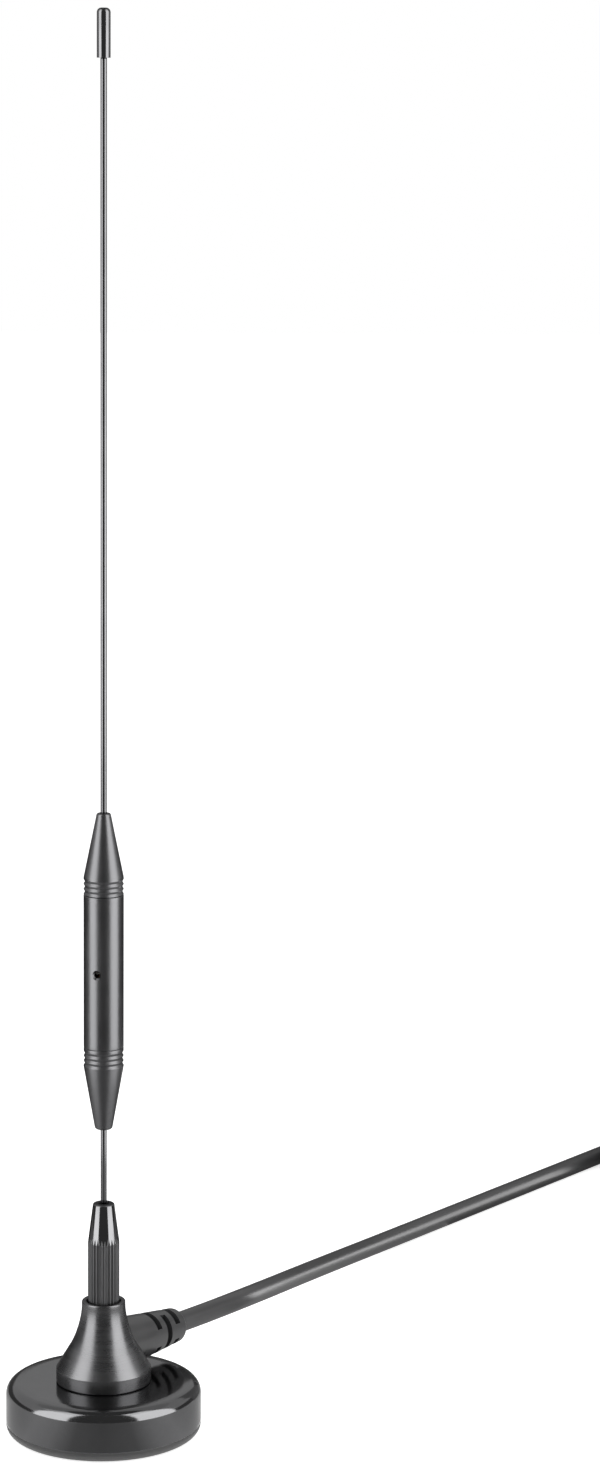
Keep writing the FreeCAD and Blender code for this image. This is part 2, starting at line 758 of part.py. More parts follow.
def lead_coil():
    """Outer shape of the tied coil of spare lead, notched under the tie."""
    inner = COIL_MIDDLE_RADIUS - COIL_WIDTH / 2
    outer = COIL_MIDDLE_RADIUS + COIL_WIDTH / 2
    body = turned([
        (inner, 0, LEAD_RADIUS),
        (outer, 0, LEAD_RADIUS),
        (outer, COIL_HEIGHT, LEAD_RADIUS),
        (inner, COIL_HEIGHT, LEAD_RADIUS),
    ])
    body.translate(COIL_CENTRE)
    return body.cut(across_coil(COIL_WIDTH + 2, TIE_WIDTH + 2 * FIT, 0, TIE_THICKNESS))


def across_coil(width, length, low, high):
    """Block across the coil's bundle at the tie."""
    block = Part.makeBox(width, length, high - low, V(-width / 2, -length / 2, low))
    block.translate(V(COIL_MIDDLE_RADIUS, 0, 0))
    block.rotate(V(0, 0, 0), UP, TIE_ANGLE)
    block.translate(COIL_CENTRE)
    return block


def lead_tie():
    """Strap closed round the coil's bundle."""
    width = COIL_WIDTH + 2 * TIE_SLACK
    hole = across_coil(width, TIE_WIDTH + 1, TIE_THICKNESS, COIL_HEIGHT)
    block = across_coil(width + 2 * TIE_THICKNESS, TIE_WIDTH, 0, COIL_HEIGHT + TIE_THICKNESS)
    along = bearing(TIE_ANGLE + 90)
    edges = [e for e in block.Edges if abs(e.tangentAt(e.FirstParameter).dot(along)) > 0.9]
    return block.makeFillet(LEAD_RADIUS, edges).cut(hole)


def on_plug(shape):
    """Shape built about +Z from the plug's rear, moved onto the plug's line."""
    return aimed(shape, plug_rear(), plug_direction())


def plug_grip():
    """Moulded grip: tapered tail, ribbed barrel and nose."""
    barrel_end = GRIP_LENGTH - GRIP_NOSE_LENGTH
    socket = CONTACT_RADIUS - CONTACT_STEP
    rib_room = barrel_end - GRIP_TAIL_LENGTH - 2
    pitch = rib_room / GRIP_RIBS
    ribs = []
    for i in range(GRIP_RIBS):
        start = GRIP_TAIL_LENGTH + 1 + i * pitch
        ribs += [
            (GRIP_RADIUS, start),
            (GRIP_RADIUS - GRIP_RIB_DEPTH, start + 0.25 * pitch),
            (GRIP_RADIUS - GRIP_RIB_DEPTH, start + 0.5 * pitch),
            (GRIP_RADIUS, start + 0.75 * pitch),
        ]
    body = turned([
        (0, 0),
        (GRIP_TAIL_RADIUS, 0, 0.5),
        (GRIP_RADIUS, GRIP_TAIL_LENGTH, 1.5),
    ] + ribs + [
        (GRIP_RADIUS, barrel_end, 0.3),
        (GRIP_NOSE_RADIUS, barrel_end + 0.6),
        (GRIP_NOSE_RADIUS, GRIP_LENGTH, 0.4),
        (socket, GRIP_LENGTH),
        (socket, GRIP_LENGTH - CONTACT_EMBED),
        (0, GRIP_LENGTH - CONTACT_EMBED),
    ])
    return on_plug(body)


def plug_contact():
    """Outer contact: a thin tube that shoulders on the grip and has its root set in it."""
    inner = CONTACT_RADIUS - CONTACT_WALL
    root = CONTACT_RADIUS - CONTACT_STEP
    low = GRIP_LENGTH - CONTACT_EMBED
    high = GRIP_LENGTH + CONTACT_LENGTH
    body = turned([
        (inner, low),
        (root, low),
        (root, GRIP_LENGTH),
        (CONTACT_RADIUS, GRIP_LENGTH),
        (CONTACT_RADIUS, high, 0.3),
        (inner, high, 0.15),
    ])
    return on_plug(body)


def plug_insulator():
    """Plastic disc that holds the centre pin in the contact."""
    low = GRIP_LENGTH - CONTACT_EMBED
    inner = CONTACT_RADIUS - CONTACT_WALL - SNUG
    return on_plug(ring(PLUG_PIN_RADIUS + SNUG, inner, low, GRIP_LENGTH + 0.5))


def plug_pin():
    """Round-nosed centre pin."""
    low = GRIP_LENGTH - CONTACT_EMBED
    high = GRIP_LENGTH + CONTACT_LENGTH - PLUG_PIN_SHORT
    return on_plug(turned([(0, low), (PLUG_PIN_RADIUS, low), (PLUG_PIN_RADIUS, high, 0.8), (0, high)]))


SUB_PARTS = {
    "base_cup": base_cup,
    "ring_magnet": ring_magnet,
    "base_pad": base_pad,
    "mount_cone": mount_cone,
    "insulator_bush": insulator_bush,
    "socket_bolt": socket_bolt,
    "solder_tag": solder_tag,
    "lower_bush": lower_bush,
    "clamp_washer": clamp_washer,
    "clamp_nut": clamp_nut,
    "seal_washer": seal_washer,
    "ferrule": ferrule,
    "lower_whip": lower_whip,
    "coil_bottom_cone": coil_bottom_cone,
    "coil_sleeve": coil_sleeve,
    "coil_former": coil_former,
    "coil_winding": coil_winding,
    "coil_top_cone": coil_top_cone,
    "upper_whip": upper_whip,
    "tip_cap": tip_cap,
    "strain_relief": strain_relief,
    "braid_ring": braid_ring,
    "lead_dielectric": lead_dielectric,
    "lead_core": lead_core,
    "lead_coil": lead_coil,
    "lead_tie": lead_tie,
    "plug_grip": plug_grip,
    "plug_contact": plug_contact,
    "plug_insulator": plug_insulator,
    "plug_pin": plug_pin,
}
TUBES = {"lead_run": lead_run, "lead_tail": lead_tail}


def main():
    """Builds every sub-part, reports it and writes its file."""
    os.makedirs("parts", exist_ok=True)
    shapes = {name: make() for name, make in SUB_PARTS.items()}
    for name, make in TUBES.items():
        shapes[name], radii, length = make()
        section = math.pi * LEAD_RADIUS**2
        print(name, "bend radii", [round(r, 1) for r in radii])
        print(name, "length", round(length, 1), "volume over section x length",
              round(shapes[name].Volume / (section * length), 5))
    for name, shape in shapes.items():
        print(name, "solids", len(shape.Solids), "valid", shape.isValid(), "volume", round(shape.Volume, 2))
        shape.exportStep("parts/" + name + ".step")


main()
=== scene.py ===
import logging
import math
from collections.abc import Iterable, Sequence
from dataclasses import dataclass
from enum import Enum

import bmesh
import bpy
from mathutils import Matrix, Vector


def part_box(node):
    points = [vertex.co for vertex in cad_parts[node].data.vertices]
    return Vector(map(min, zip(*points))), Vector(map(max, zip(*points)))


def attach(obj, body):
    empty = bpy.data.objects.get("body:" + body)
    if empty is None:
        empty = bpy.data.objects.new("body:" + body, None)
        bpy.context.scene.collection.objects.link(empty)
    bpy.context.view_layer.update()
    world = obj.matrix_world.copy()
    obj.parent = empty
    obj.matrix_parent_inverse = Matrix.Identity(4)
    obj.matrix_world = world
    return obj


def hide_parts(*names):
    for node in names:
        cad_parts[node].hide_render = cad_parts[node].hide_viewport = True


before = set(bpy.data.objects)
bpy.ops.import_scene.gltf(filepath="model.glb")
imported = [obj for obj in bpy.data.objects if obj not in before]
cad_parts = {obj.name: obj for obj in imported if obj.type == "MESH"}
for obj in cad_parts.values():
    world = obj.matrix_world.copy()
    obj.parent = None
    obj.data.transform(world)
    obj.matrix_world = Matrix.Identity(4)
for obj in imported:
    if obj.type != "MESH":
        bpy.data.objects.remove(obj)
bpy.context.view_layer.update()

LOG = logging.getLogger("antenna")
MM = 0.001
FULL_TURN = 2 * math.pi
SHARP_ANGLE = 32.0
COPY_SHARP_ANGLE = 35.0
ROUNDING_SEGMENTS = 6
MERGE_DISTANCE = 1e-7
COPY_MERGE_DISTANCE = 1e-6
WHITE = (1.0, 1.0, 1.0, 1.0)
BLACK = (0.0, 0.0, 0.0, 1.0)

Colour = tuple[float, float, float]
Triple = tuple[float, float, float]
# A card's rim: radius and height.
Rim = tuple[float, float]
# A profile's corner: radius, height and, where it is rounded, the rounding's radius and segments.
Corner = tuple[float, ...]


class Body(Enum):
    """The rigid bodies that the new pieces ride on."""

    BASE = "base"
    MAST = "mast"


class Channel:
    """An output socket in a material, with arithmetic that adds Math nodes."""

    def __init__(self, book: "NodeBook", socket: bpy.types.NodeSocket) -> None:
        """Wraps a socket.

        Args:
            book: The material's node book.
            socket: The output socket.
        """
        self.book = book
        self.socket = socket

    def _math(self, operation: str, first: object, second: object) -> "Channel":
        """Adds a Math node.

        Args:
            operation: The Math node's operation.
            first: A channel or a number.
            second: A channel or a number.

        Returns:
            The node's result.
        """
        settings = {"operation": operation}
        return self.book.output("ShaderNodeMath", settings, {0: first, 1: second})

    def __add__(self, other: object) -> "Channel":
        """Returns self + other."""
        return self._math("ADD", self, other)

    def __sub__(self, other: object) -> "Channel":
        """Returns self - other."""
        return self._math("SUBTRACT", self, other)

    def __rsub__(self, other: object) -> "Channel":
        """Returns other - self."""
        return self._math("SUBTRACT", other, self)

    def __mul__(self, other: object) -> "Channel":
        """Returns self * other."""
        return self._math("MULTIPLY", self, other)

    def __truediv__(self, other: object) -> "Channel":
        """Returns self / other."""
        return self._math("DIVIDE", self, other)

    __radd__ = __add__
    __rmul__ = __mul__

    def clamped(self) -> "Channel":
        """Returns the value held between 0 and 1."""
        return self.book.output("ShaderNodeClamp", {}, {"Value": self})

    def either(self, other: object) -> "Channel":
        """Returns the larger of the two values."""
        return self._math("MAXIMUM", self, other)


class NodeBook:
    """The node tree of a material or a world, and the one way to add to it."""

    def __init__(self, tree: bpy.types.NodeTree) -> None:
        """Empties the tree.

        Args:
            tree: The node tree to fill.
        """
        self.tree = tree
        tree.nodes.clear()

    def node(
        self, kind: str, settings: dict[str, object], inputs: dict[object, object]
    ) -> bpy.types.Node:
        """Adds a node.

        Args:
            kind: The node's type.
            settings: Its properties, set first; stops are a colour ramp's.
            inputs: Values or channels for its sockets, by name or number.

        Returns:
            The node.
        """
        made = self.tree.nodes.new(kind)
        for key, value in settings.items():
            if key == "stops":
                self._set_stops(made.color_ramp, value)
            else:
                setattr(made, key, value)
        for key, value in inputs.items():
            if isinstance(value, Channel):
                self.tree.links.new(value.socket, made.inputs[key])
            else:
                made.inputs[key].default_value = value
        return made

    @staticmethod
    def _set_stops(ramp: bpy.types.ColorRamp, stops: Sequence[tuple[float, float]]) -> None:
        """Sets a ramp's grey stops.

        Args:
            ramp: The colour ramp, which has two stops.
            stops: Positions and grey levels.
        """
        while len(ramp.elements) < len(stops):
            ramp.elements.new(0.5)
        for element, (position, grey) in zip(ramp.elements, stops):
            element.position = position
            element.color = (grey, grey, grey, 1.0)

    def output(
        self,
        kind: str,
        settings: dict[str, object],
        inputs: dict[object, object],
        name: object = 0,
    ) -> Channel:
        """Adds a node and returns one of its outputs.

        Args:
            kind: The node's type.
            settings: Its properties.
            inputs: Its inputs.
            name: The output's name or number.

        Returns:
            The output as a channel.
        """
        return Channel(self, self.node(kind, settings, inputs).outputs[name])

    def coordinates(self) -> Channel:
        """Returns Object coordinates, in metres."""
        return self.output("ShaderNodeTexCoord", {}, {}, "Object")

    def height(self) -> Channel:
        """Returns the height above the table in metres."""
        return self.output("ShaderNodeSeparateXYZ", {}, {0: self.coordinates()}, "Z")

    def level(self) -> Channel:
        """Returns Object coordinates with their height taken out."""
        inputs = {0: self.coordinates(), 1: (1.0, 1.0, 0.0)}
        return self.output("ShaderNodeVectorMath", {"operation": "MULTIPLY"}, inputs)

    def distance_from_axis(self) -> Channel:
        """Returns the distance from the antenna's axis in metres."""
        settings = {"operation": "LENGTH"}
        return self.output("ShaderNodeVectorMath", settings, {0: self.level()}, "Value")

    def noise(self, size: float, detail: float, stretch: Triple) -> Channel:
        """Adds a noise pattern.

        Args:
            size: The size of its features in metres.
            detail: The number of finer layers.
            stretch: How its coordinates are stretched along each axis.

        Returns:
            The pattern, about 0.5 on average.
        """
        inputs = {"Vector": self.coordinates(), "Scale": stretch}
        place = self.output("ShaderNodeMapping", {}, inputs)
        inputs = {"Vector": place, "Scale": 1 / size, "Detail": detail}
        return self.output("ShaderNodeTexNoise", {}, inputs)

    def ramp(self, value: Channel, stops: Sequence[tuple[float, float]]) -> Channel:
        """Returns a value run through a grey ramp."""
        return self.output("ShaderNodeValToRGB", {"stops": stops}, {0: value})

    def mix(self, share: Channel, first: object, second: object) -> Channel:
        """Returns a colour between two channels or colours, by the second one's share."""
        inputs = {0: share, 6: first, 7: second}
        return self.output("ShaderNodeMix", {"data_type": "RGBA"}, inputs, 2)

    def bump(self, relief: Channel, depth: float) -> Channel:
        """Returns a normal from a relief, with the depth in metres of a step of 1."""
        inputs = {"Height": relief, "Distance": depth, "Strength": 1.0}
        return self.output("ShaderNodeBump", {}, inputs, "Normal")

    def end(self, shader: Channel) -> None:
        """Ends a material in a shader."""
        self.node("ShaderNodeOutputMaterial", {}, {"Surface": shader})


def new_book(name: str) -> tuple[bpy.types.Material, NodeBook]:
    """Makes an empty material.

    Args:
        name: The material's name.

    Returns:
        The material and its node book.
    """
    material = bpy.data.materials.new(name)
    material.use_nodes = True
    return material, NodeBook(material.node_tree)


class Grain(Enum):
    """The direction that a finish's fine marks run in, as a stretch of the pattern."""

    ROUND = (0.02, 0.02, 1.0)
    ALONG = (1.0, 1.0, 0.02)
    EVEN = (1.0, 1.0, 1.0)


@dataclass(frozen=True)
class Finish:
    """A surface finish with fine marks, patches of wear and a little relief. Sizes in metres."""

    name: str
    colour: Colour
    worn: Colour
    roughness: float
    metallic: float = 0.0
    coat: float = 0.0
    coat_roughness: float = 0.05
    specular: float = 0.5
    grain: Grain = Grain.EVEN
    mark: float = 0.00025
    mark_detail: float = 3.0
    depth: float = 0.00001
    patch: float = 0.008
    patch_detail: float = 4.0
    patch_from: float = 0.35
    patch_to: float = 0.7
    spread: float = 0.1
    edge: float = 1.0

    def material(self) -> bpy.types.Material:
        """Returns the finish's material, made once."""
        return bpy.data.materials.get(self.name) or self._build()

    def _build(self) -> bpy.types.Material:
        """Builds the material.

        Returns:
            The new material.
        """
        material, book = new_book(self.name)
        marks = book.noise(self.mark, self.mark_detail, self.grain.value)
        clouds = book.noise(self.patch, self.patch_detail, Grain.EVEN.value)
        patches = book.ramp(clouds, ((self.patch_from, 0.0), (self.patch_to, 1.0)))
        wear = (marks * 0.5 + patches * 0.5).clamped()
        colour = book.mix(wear, (*self.colour, 1.0), (*self.worn, 1.0))
        inputs = {
            "Base Color": self.tint(book, colour),
            "Roughness": self.rough(book, marks, patches),
            "Metallic": self.metallic,
            "Coat Weight": self.coat,
            "Coat Roughness": self.coat_roughness,
            "Specular IOR Level": self.specular,
            "Specular Tint": (self.edge, self.edge, self.edge, 1.0),
            "Normal": book.bump(marks, self.depth),
        }
        book.end(book.output("ShaderNodeBsdfPrincipled", {}, inputs))
        return material

    def tint(self, book: NodeBook, colour: Channel) -> Channel:
        """Returns the colour as it is."""
        return colour

    def rough(self, book: NodeBook, marks: Channel, patches: Channel) -> Channel:
        """Works out the roughness over the surface.

        Args:
            book: The material's node book.
            marks: The pattern of fine marks.
            patches: The pattern of wear.

        Returns:
            The roughness.
        """
        return (marks - 0.5) * self.spread + patches * (self.spread * 0.5) + self.roughness


@dataclass(frozen=True)
class FerruleFinish(Finish):
    """Black plating, polished on the taper, and satin and duller in the flutes.

    The taper starts at the shoulder with the radius and narrows by the slope. A flute shows
    where the surface lies a step below the taper. The polish fades in above the shoulder.
    """

    satin: float = 0.42
    dull: float = 0.6
    shoulder: float = 0.0496
    radius: float = 0.00398
    slope: float = 0.12745
    fade: float = 0.00025
    step: float = 0.00003

    def fluted(self, book: NodeBook) -> Channel:
        """Works out where the flutes are, which run out in the taper as spikes.

        Args:
            book: The material's node book.

        Returns:
            A mask, 1 in the flutes and 0 on the turned taper.
        """
        climb = book.height() - self.shoulder
        below = (self.radius - climb * self.slope) - book.distance_from_axis()
        return 1 - (climb / self.fade).clamped() * (1 - below / self.step).clamped()

    def tint(self, book: NodeBook, colour: Channel) -> Channel:
        """Returns the colour, of which the flutes keep the share that dull gives."""
        return book.mix(self.fluted(book) * (1 - self.dull), colour, BLACK)

    def rough(self, book: NodeBook, marks: Channel, patches: Channel) -> Channel:
        """Works out the roughness, which drops where the flutes run out.

        Args:
            book: The material's node book.
            marks: The pattern of fine marks.
            patches: The pattern of wear.

        Returns:
            The roughness.
        """
        polished = super().rough(book, marks, patches)
        return polished + self.fluted(book) * (self.satin - self.roughness)


CUP_PLATE = Finish("plate_black_mirror", (0.19, 0.19, 0.195), (0.22, 0.22, 0.225), 0.12,
                   metallic=1.0, mark=0.0012, depth=0.000002, spread=0.03, edge=0.9)
PAD_RUBBER = Finish("rubber_pad", (0.045, 0.045, 0.046), (0.07, 0.07, 0.07), 0.45,
                    mark=0.0002, depth=0.00003)
GUNMETAL = Finish("gunmetal_brushed", (0.15, 0.15, 0.154), (0.23, 0.23, 0.235), 0.26, metallic=1.0,
                  grain=Grain.ROUND, mark=0.0003, depth=0.000003, spread=0.12, edge=0.5)
BLACK_PLATE = Finish("plate_black_satin", (0.165, 0.165, 0.17), (0.19, 0.19, 0.195), 0.3,
                     metallic=1.0, grain=Grain.ALONG, mark=0.0002, depth=0.000003, edge=0.5)
CONE_PLATE = Finish("plate_black_turned", (0.165, 0.165, 0.17), (0.19, 0.19, 0.195), 0.31,
                    metallic=1.0, grain=Grain.ROUND, mark=0.00016, depth=0.000003, edge=0.5)
TIP_PLATE = Finish("plate_black_gloss", (0.19, 0.19, 0.195), (0.22, 0.22, 0.225), 0.1,
                   metallic=1.0, mark=0.0003, depth=0.000001, spread=0.04, edge=0.4)
FERRULE_PLATE = FerruleFinish("plate_black_polished", (0.2, 0.2, 0.205), (0.23, 0.23, 0.235), 0.08,
                              metallic=1.0, mark=0.0003, depth=0.000001, spread=0.04, edge=0.3)
WHIP_STEEL = Finish("steel_wire_black", (0.19, 0.19, 0.195), (0.22, 0.22, 0.225), 0.14,
                    metallic=1.0, grain=Grain.ALONG, mark=0.0001, depth=0.000001, spread=0.05,
                    edge=0.4)
LEAD_PVC = Finish("pvc_lead", (0.032, 0.032, 0.033), (0.042, 0.042, 0.043), 0.34, specular=1.0,
                  mark=0.0004, depth=0.000006, patch=0.02)
RELIEF_PVC = Finish("pvc_moulded", (0.035, 0.035, 0.036), (0.045, 0.045, 0.046), 0.3, specular=0.9)
GRIP_PVC = Finish("pvc_grip", (0.035, 0.035, 0.037), (0.05, 0.05, 0.052), 0.5,
                  mark=0.0002, depth=0.00002)
TIE_NYLON = Finish("nylon_black", (0.03, 0.03, 0.032), (0.045, 0.045, 0.047), 0.4, mark=0.0003)
SEAL_RUBBER = Finish("rubber_seal", (0.03, 0.03, 0.03), (0.04, 0.04, 0.04), 0.7,
                     mark=0.0002, depth=0.00002)
NYLON = Finish("nylon_natural", (0.78, 0.76, 0.7), (0.7, 0.68, 0.62), 0.45, mark=0.0004)
BRASS = Finish("brass_turned", (0.8, 0.6, 0.3), (0.7, 0.5, 0.25), 0.3, metallic=1.0,
               grain=Grain.ROUND, mark=0.00014)
ZINC = Finish("zinc_plate", (0.62, 0.62, 0.63), (0.5, 0.5, 0.5), 0.35, metallic=1.0,
              mark=0.0003, depth=0.000006)
COPPER = Finish("copper_enamelled", (0.3, 0.13, 0.06), (0.22, 0.09, 0.04), 0.3, metallic=1.0,
                coat=0.5, mark=0.0003, depth=0.000002)
FERRITE = Finish("ferrite_grey", (0.09, 0.09, 0.09), (0.12, 0.12, 0.12), 0.7,
                 mark=0.0003, depth=0.00003)
NICKEL = Finish("nickel_bright", (0.72, 0.71, 0.69), (0.66, 0.65, 0.63), 0.16, metallic=1.0,
                grain=Grain.ROUND, mark=0.0002, depth=0.000002, spread=0.05)

HIDDEN_NODES = {
    "ring_magnet": FERRITE,
    "insulator_bush": NYLON,
    "socket_bolt": BRASS,
    "solder_tag": ZINC,
    "lower_bush": NYLON,
    "clamp_washer": ZINC,
    "clamp_nut": ZINC,
    "seal_washer": SEAL_RUBBER,
    "coil_former": NYLON,
    "coil_winding": COPPER,
    "braid_ring": ZINC,
    "lead_dielectric": NYLON,
    "lead_core": COPPER,
}


def bearing(degrees: float) -> Vector:
    """Returns the level direction at an angle from +X."""
    angle = math.radians(degrees)
    return Vector((math.cos(angle), math.sin(angle), 0))


def facing(place: Vector, direction: Vector) -> Matrix:
    """Returns the placement that moves the origin to a place and turns +Z to a direction."""
    return Matrix.Translation(place) @ direction.to_track_quat("Z", "Y").to_matrix().to_4x4()


def linked(name: str, data: bpy.types.ID) -> bpy.types.Object:
    """Makes an object and links it to the scene.

    Args:
        name: The object's name.
        data: Its mesh, curve, camera or lamp.

    Returns:
        The object.
    """
    made = bpy.data.objects.new(name, data)
    bpy.context.scene.collection.objects.link(made)
    return made


def smooth(mesh: bpy.types.Mesh, sharp: float) -> None:
    """Shades a mesh smooth, but for edges past an angle in degrees."""
    mesh.shade_smooth()
    mesh.set_sharp_from_angle(angle=math.radians(sharp))


def wrap(bm: bmesh.types.BMesh, name: str, sharp: float) -> bpy.types.Object:
    """Makes a smooth-shaded object from a mesh under construction.

    Args:
        bm: The mesh, which is freed.
        name: The object's name.
        sharp: The angle in degrees past which an edge stays sharp.

    Returns:
        The new object, linked to the scene.
    """
    mesh = bpy.data.meshes.new(name)
    bm.to_mesh(mesh)
    bm.free()
    smooth(mesh, sharp)
    return linked(name, mesh)


def to_object(bm: bmesh.types.BMesh, name: str, sharp: float = SHARP_ANGLE) -> bpy.types.Object:
    """Closes a new mesh, turns its faces outwards and makes an object of it.

    Args:
        bm: The mesh, which is freed.
        name: The object's name.
        sharp: The angle in degrees past which an edge stays sharp.

    Returns:
        The new object, linked to the scene.
    """
    bmesh.ops.remove_doubles(bm, verts=bm.verts, dist=MERGE_DISTANCE)
    bmesh.ops.recalc_face_normals(bm, faces=bm.faces)
    return wrap(bm, name, sharp)


def copy_of_node(node: str, name: str) -> bpy.types.Object:
    """Makes a smooth-shaded copy of a CAD node.

    Args:
        node: The node to copy.
        name: The copy's name.

    Returns:
        The copy.
    """
    bm = bmesh.new()
    bm.from_mesh(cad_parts[node].data)
    bmesh.ops.remove_doubles(bm, verts=bm.verts, dist=COPY_MERGE_DISTANCE)
    made = wrap(bm, name, COPY_SHARP_ANGLE)
    made.data.materials.clear()
    return made


def turned_mesh(corners: Sequence[Corner], steps: int) -> bmesh.types.BMesh:
    """Spins a profile about Z.

    Args:
        corners: The profile's corners in millimetres.
        steps: The number of steps round the axis.

    Returns:
        The mesh, open where the profile starts and ends on the axis.
    """
    bm = bmesh.new()
    verts = [bm.verts.new((c[0] * MM, 0.0, c[1] * MM)) for c in corners]
    on_axis = corners[0][0] == 0 and corners[-1][0] == 0
    for i in range(len(verts) - (1 if on_axis else 0)):
        bm.edges.new((verts[i], verts[(i + 1) % len(verts)]))
    points = [v.co.copy() for v in verts]
    for i, corner in enumerate(corners):
        if len(corner) < 3 or not corner[2]:
            continue
        back = points[i - 1] - points[i]
        ahead = points[(i + 1) % len(points)] - points[i]
        reach = corner[2] * MM / math.tan(back.angle(ahead) / 2)
        segments = int(corner[3]) if len(corner) > 3 else ROUNDING_SEGMENTS
        bmesh.ops.bevel(bm, geom=[verts[i]], offset=reach, offset_type="OFFSET", segments=segments,
                        profile=0.5, affect="VERTICES", material=-1)
    bmesh.ops.spin(bm, geom=bm.verts[:] + bm.edges[:], cent=(0, 0, 0), axis=(0, 0, 1),
                   angle=FULL_TURN, steps=steps, use_merge=True, use_duplicate=False)
    return bm


def turned(
    name: str, corners: Sequence[Corner], place: Matrix | None = None, steps: int = 128
) -> bpy.types.Object:
    """Makes a turned piece.

    Args:
        name: The piece's name.
        corners: Its profile in millimetres.
        place: Where the profile's axis goes, or None for the whip's axis.
        steps: The number of steps round the axis.

    Returns:
        The piece.
    """
    bm = turned_mesh(corners, steps)
    if place:
        bmesh.ops.transform(bm, matrix=place, verts=bm.verts)
    return to_object(bm, name)


def cut(piece: bpy.types.Object, tool: bpy.types.Object) -> bpy.types.Object:
    """Cuts a tool's shape out of a piece and throws the tool away.

    Args:
        piece: The piece to cut.
        tool: The closed shape to take out.

    Returns:
        The piece.
    """
    modifier = piece.modifiers.new("cut", "BOOLEAN")
    modifier.operation = "DIFFERENCE"
    modifier.solver = "EXACT"
    modifier.object = tool
    bpy.context.view_layer.update()
    shape = piece.evaluated_get(bpy.context.evaluated_depsgraph_get())
    mesh = bpy.data.meshes.new_from_object(shape)
    piece.modifiers.clear()
    piece.data = mesh
    smooth(mesh, SHARP_ANGLE)
    bpy.data.objects.remove(tool)
    return piece


def settle(piece: bpy.types.Object, finish: Finish, body: Body, *nodes: str) -> bpy.types.Object:
    """Dresses a piece, puts it on its body and lets it stand for its nodes.

    Args:
        piece: The finished piece.
        finish: Its finish.
        body: The body that it rides on.
        nodes: The CAD nodes that it replaces.

    Returns:
        The piece.
    """
    piece.data.materials.append(finish.material())
    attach(piece, body.value)
    if nodes:
        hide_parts(*nodes)
    LOG.info("%s rides on %s", piece.name, body.value)
    return piece


@dataclass
class Base:
    """The magnetic base: plated cup, rubber pad and flared cone. Sizes in millimetres."""

    radius: float = 24.7
    height: float = 13.2
    wall: float = 1.2
    edge: float = 3.0
    crown: float = 20.2
    crown_edge: float = 6.0
    fall: float = 0.18
    hole: float = 3.2
    lip: float = 2.7
    lip_edge: float = 2.4
    parting: float = 0.12
    pad_play: float = 0.05
    pad_top: float = 4.0
    foot: float = 12.0
    foot_edge: float = 0.5
    band: float = 3.6
    band_edge: float = 0.3
    neck: float = 5.6
    draft: float = 0.1
    flare: float = 21.0
    slope: float = 0.6
    cone_height: float = 21.2
    rim_edge: float = 0.4
    recess: float = 4.25
    recess_depth: float = 7.2
    bolt_bore: float = 4.0
    cone_wall: float = 2.0
    cavity_height: float = 9.8
    cavity_top: float = 5.4

    def build(self) -> None:
        """Builds and dresses the base's visible pieces."""
        settle(self.cup(), CUP_PLATE, Body.BASE, "base_cup")
        settle(self.pad(), PAD_RUBBER, Body.BASE, "base_pad")
        settle(self.cone(), GUNMETAL, Body.BASE, "mount_cone")

    def cup(self) -> bpy.types.Object:
        """Turns the cup, whose top falls a little towards its rim.

        Returns:
            The cup.
        """
        inner = self.radius - self.wall
        top = self.height - self.wall
        return turned("cup_plated", [
            (self.hole, top),
            (inner, top, self.edge - self.wall),
            (inner, self.lip),
            (self.radius, self.lip, self.parting, 3),
            (self.radius, self.height - self.fall, self.edge, 14),
            (self.crown, self.height, self.crown_edge, 3),
            (self.hole, self.height),
        ], steps=192)

    def pad(self) -> bpy.types.Object:
        """Turns the foot pad.

        Returns:
            The pad.
        """
        inside = self.radius - self.wall - self.pad_play
        return turned("pad_foot", [
            (0, 0),
            (self.radius, 0, self.lip_edge, 14),
            (self.radius, self.lip, self.parting, 3),
            (inside, self.lip),
            (inside, self.pad_top),
            (0, self.pad_top),
        ], steps=192)

    def cone(self) -> bpy.types.Object:
        """Turns the flared cone with its recess and its cavity.

        Returns:
            The cone.
        """
        band_top = self.height + self.band
        top = self.height + self.cone_height
        flare_top = band_top + (self.foot - self.neck) / self.slope
        floor = top - self.recess_depth
        cavity = self.height + self.cavity_height
        return turned("cone_flared", [
            (self.foot, self.height, self.foot_edge, 6),
            (self.foot, band_top, self.band_edge, 4),
            (self.neck, flare_top, self.flare, 28),
            (self.neck - self.draft, top, self.rim_edge, 6),
            (self.recess, top, self.rim_edge, 6),
            (self.recess, floor),
            (self.bolt_bore, floor),
            (self.bolt_bore, cavity),
            (self.cavity_top, cavity),
            (self.foot - self.cone_wall, band_top),
            (self.foot - self.cone_wall, self.height),
        ], steps=160)


